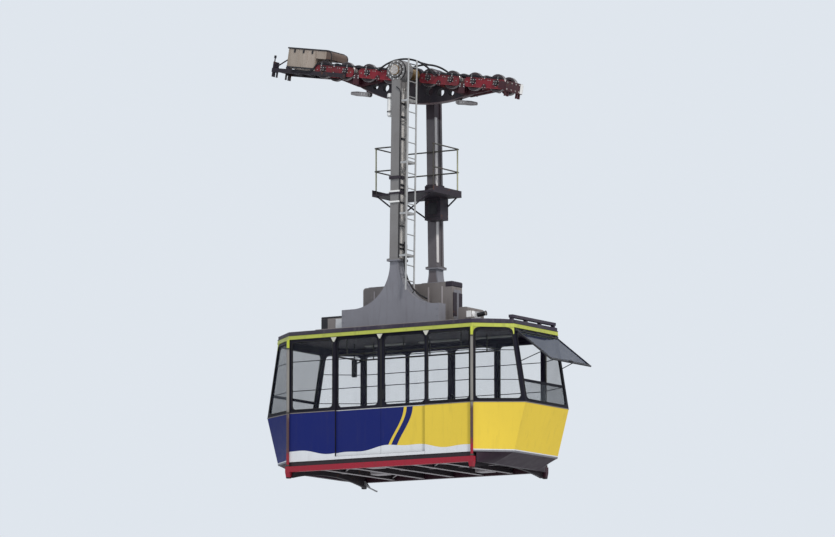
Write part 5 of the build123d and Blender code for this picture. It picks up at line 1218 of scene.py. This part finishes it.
blade = {"x": (-2.025, -1.695), "z": (-0.15, -0.4), "y": (1.243, 1.267), "knee": (0.4, 0.62)}
(root, tip), (rootZ, tipZ) = blade["x"], blade["z"]
kneeX, kneeZ = root + (tip - root) * blade["knee"][0], rootZ + (tipZ - rootZ) * blade["knee"][1]
outline = [(root - 0.047, rootZ - 0.02), (root + 0.047, rootZ - 0.02), (kneeX + 0.032, kneeZ),
           (tip + 0.002, tipZ + 0.021), (tip - 0.02, tipZ - 0.002), (kneeX - 0.0245, kneeZ)]
shape = bmesh.new()
addUpright(shape, plumb, outline, blade["y"][0], blade["y"][1] - blade["y"][0])
finishPiece("bladeSkin", shape, "trimGrey", hangerBody)
feet = {"x": 2.075, "y": 1.355, "low": -0.316, "high": -0.285, "half": 0.038}
half = feet["half"]
blocks("footPads", "rubber", hangerBody,
       [((end * feet["x"] - half, side * feet["y"] - half, feet["low"]),
         (end * feet["x"] + half, side * feet["y"] + half, feet["high"]), 0.006)
        for side in (near, far) for end in (uphill, downhill)])

inside = {"lightX": (-1.25, 0.0, 1.25), "lightY": (-0.82, 0.82), "lightHalf": (0.45, 0.05),
          "lightZ": (2.43, 2.458), "rail": 0.93, "railX": (-2.5, -2.86), "railY": (-0.72, 0.72),
          "railPosts": (-0.6, 0.0, 0.6)}
phone = {"x": -1.63, "y": 0.3, "low": 1.78, "high": 2.12, "ceiling": 2.44}
(halfX, halfY), (low, high) = inside["lightHalf"], inside["lightZ"]
blocks("ceilingLights", "lightDiffuser", hangerBody,
       [((x - halfX, y - halfY, low), (x + halfX, y + halfY, high), 0.008)
        for y in inside["lightY"] for x in inside["lightX"]])
shape = bmesh.new()
x, y, low, high = phone["x"], phone["y"], phone["low"], phone["high"]
addTube(shape, plumb, [(x, y, low + 0.3), (x, y, phone["ceiling"])], 0.014)
addBlock(shape, plumb, (x - 0.05, y - 0.035, low), (x + 0.05, y + 0.035, high), 0.012)
hook = [(x, y, high - 0.06), (x + 0.12, y, high - 0.06), (x + 0.17, y, high + 0.02)]
addTube(shape, plumb, bent(hook, 0.04), 0.016)
rail, (x, wallX) = inside["rail"], inside["railX"]
addTube(shape, plumb, [(x, y, rail) for y in inside["railY"]], 0.02)
for y in inside["railPosts"]:
    addTube(shape, plumb, [(x, y, rail), (wallX, y, rail)], 0.012)
finishPiece("cabinFittings", shape, "darkPaint", hangerBody)

roof = {"drip": 0.009, "proud": 0.0155, "rivetPitch": 0.3, "rivetRise": 0.04}
drips, bandRivets = [], []
for wall in walls:
    ends = wallEnds(wall, cabin["height"], roof["proud"])
    drips.append([plumb @ wallSpot(wall, u, cabin["height"] + 0.001, roof["proud"]) for u in ends])
    a, b = wallEnds(wall, bandLow)
    count = int((b - a) / roof["rivetPitch"])
    for k in range(count):
        u = a + (b - a) * (k + 0.5) / count
        rivet = wallSpot(wall, u, bandLow + roof["rivetRise"], cabin["bandProud"])
        bandRivets.append((plumb @ rivet, outwardOf(wall), Vector((0, 0, 1))))
beads("roofDrip", drips, "roofDark", hangerBody, roof["drip"])
bolts("bandRivets", bandRivets, "bandGreen", hangerBody, 0.012, 0.005)
print("cabin dressed")


# stage, lamps and camera

shot = {"azimuth": 32.0, "elevation": -7.5, "distance": 105.0, "lens": 233.0, "aim": (0.05, 0, -3.58),
        "clip": 600}
lamps = {  # energy, softness in degrees, azimuth, elevation, colour
    "sun": (2.3, 9, 62, 38, (1.0, 0.97, 0.92)), "fill": (0.6, 60, -20, 12, (0.9, 0.95, 1.0))}
studio = {"background": (0.74, 0.79, 0.85), "light": (0.46, 0.48, 0.52), "floor": (0.6, 0.62, 0.64, 1),
          "floorReach": 400, "floorDrop": 0.05}


def directionAt(azimuth, elevation):  # from the part, in degrees
    turn, lift = math.radians(azimuth), math.radians(elevation)
    return Vector((math.sin(turn) * math.cos(lift), -math.cos(turn) * math.cos(lift), math.sin(lift)))


def makeStage():
    back = directionAt(shot["azimuth"], shot["elevation"])
    camera = linked("camera", bpy.data.cameras.new("camera"))
    camera.data.lens = shot["lens"]
    camera.data.clip_end = shot["clip"]
    camera.location = Vector(shot["aim"]) + back * shot["distance"]
    camera.rotation_euler = (-back).to_track_quat("-Z", "Y").to_euler()
    bpy.context.scene.camera = camera
    for name, (energy, softness, azimuth, elevation, colour) in lamps.items():
        lamp = linked(name, bpy.data.lights.new(name, "SUN"))
        lamp.data.energy, lamp.data.angle, lamp.data.color = energy, math.radians(softness), colour
        lamp.rotation_euler = directionAt(azimuth, elevation).to_track_quat("Z", "Y").to_euler()
    floorMesh = bpy.data.meshes.new("floorStage")
    level, reach = camera.location.z - studio["floorDrop"], studio["floorReach"]
    corners = [(a * reach, b * reach, level) for a, b in ((-1, -1), (1, -1), (1, 1), (-1, 1))]
    floorMesh.from_pydata(corners, [], [(0, 1, 2, 3)])
    shader = newMaterial("studioFloor")[1]
    shader.inputs["Base Color"].default_value = studio["floor"]
    shader.inputs["Roughness"].default_value = 0.9
    floorMesh.materials.append(looks["studioFloor"])
    linked("floorStage", floorMesh)
    world = bpy.data.worlds.new("studio")
    bpy.context.scene.world = world
    world.use_nodes = True
    tree = world.node_tree
    rays = tree.nodes.new("ShaderNodeLightPath")
    seen = calc(tree, "MAXIMUM", rays.outputs["Is Camera Ray"],
                calc(tree, "MAXIMUM", rays.outputs["Is Glossy Ray"], rays.outputs["Is Transmission Ray"]))
    sky = mixed(tree, seen, studio["light"], studio["background"])
    tree.links.new(sky, tree.nodes["Background"].inputs["Color"])
    bpy.context.scene.view_settings.view_transform = "Standard"


makeStage()
print("stage and camera set")

print("done")
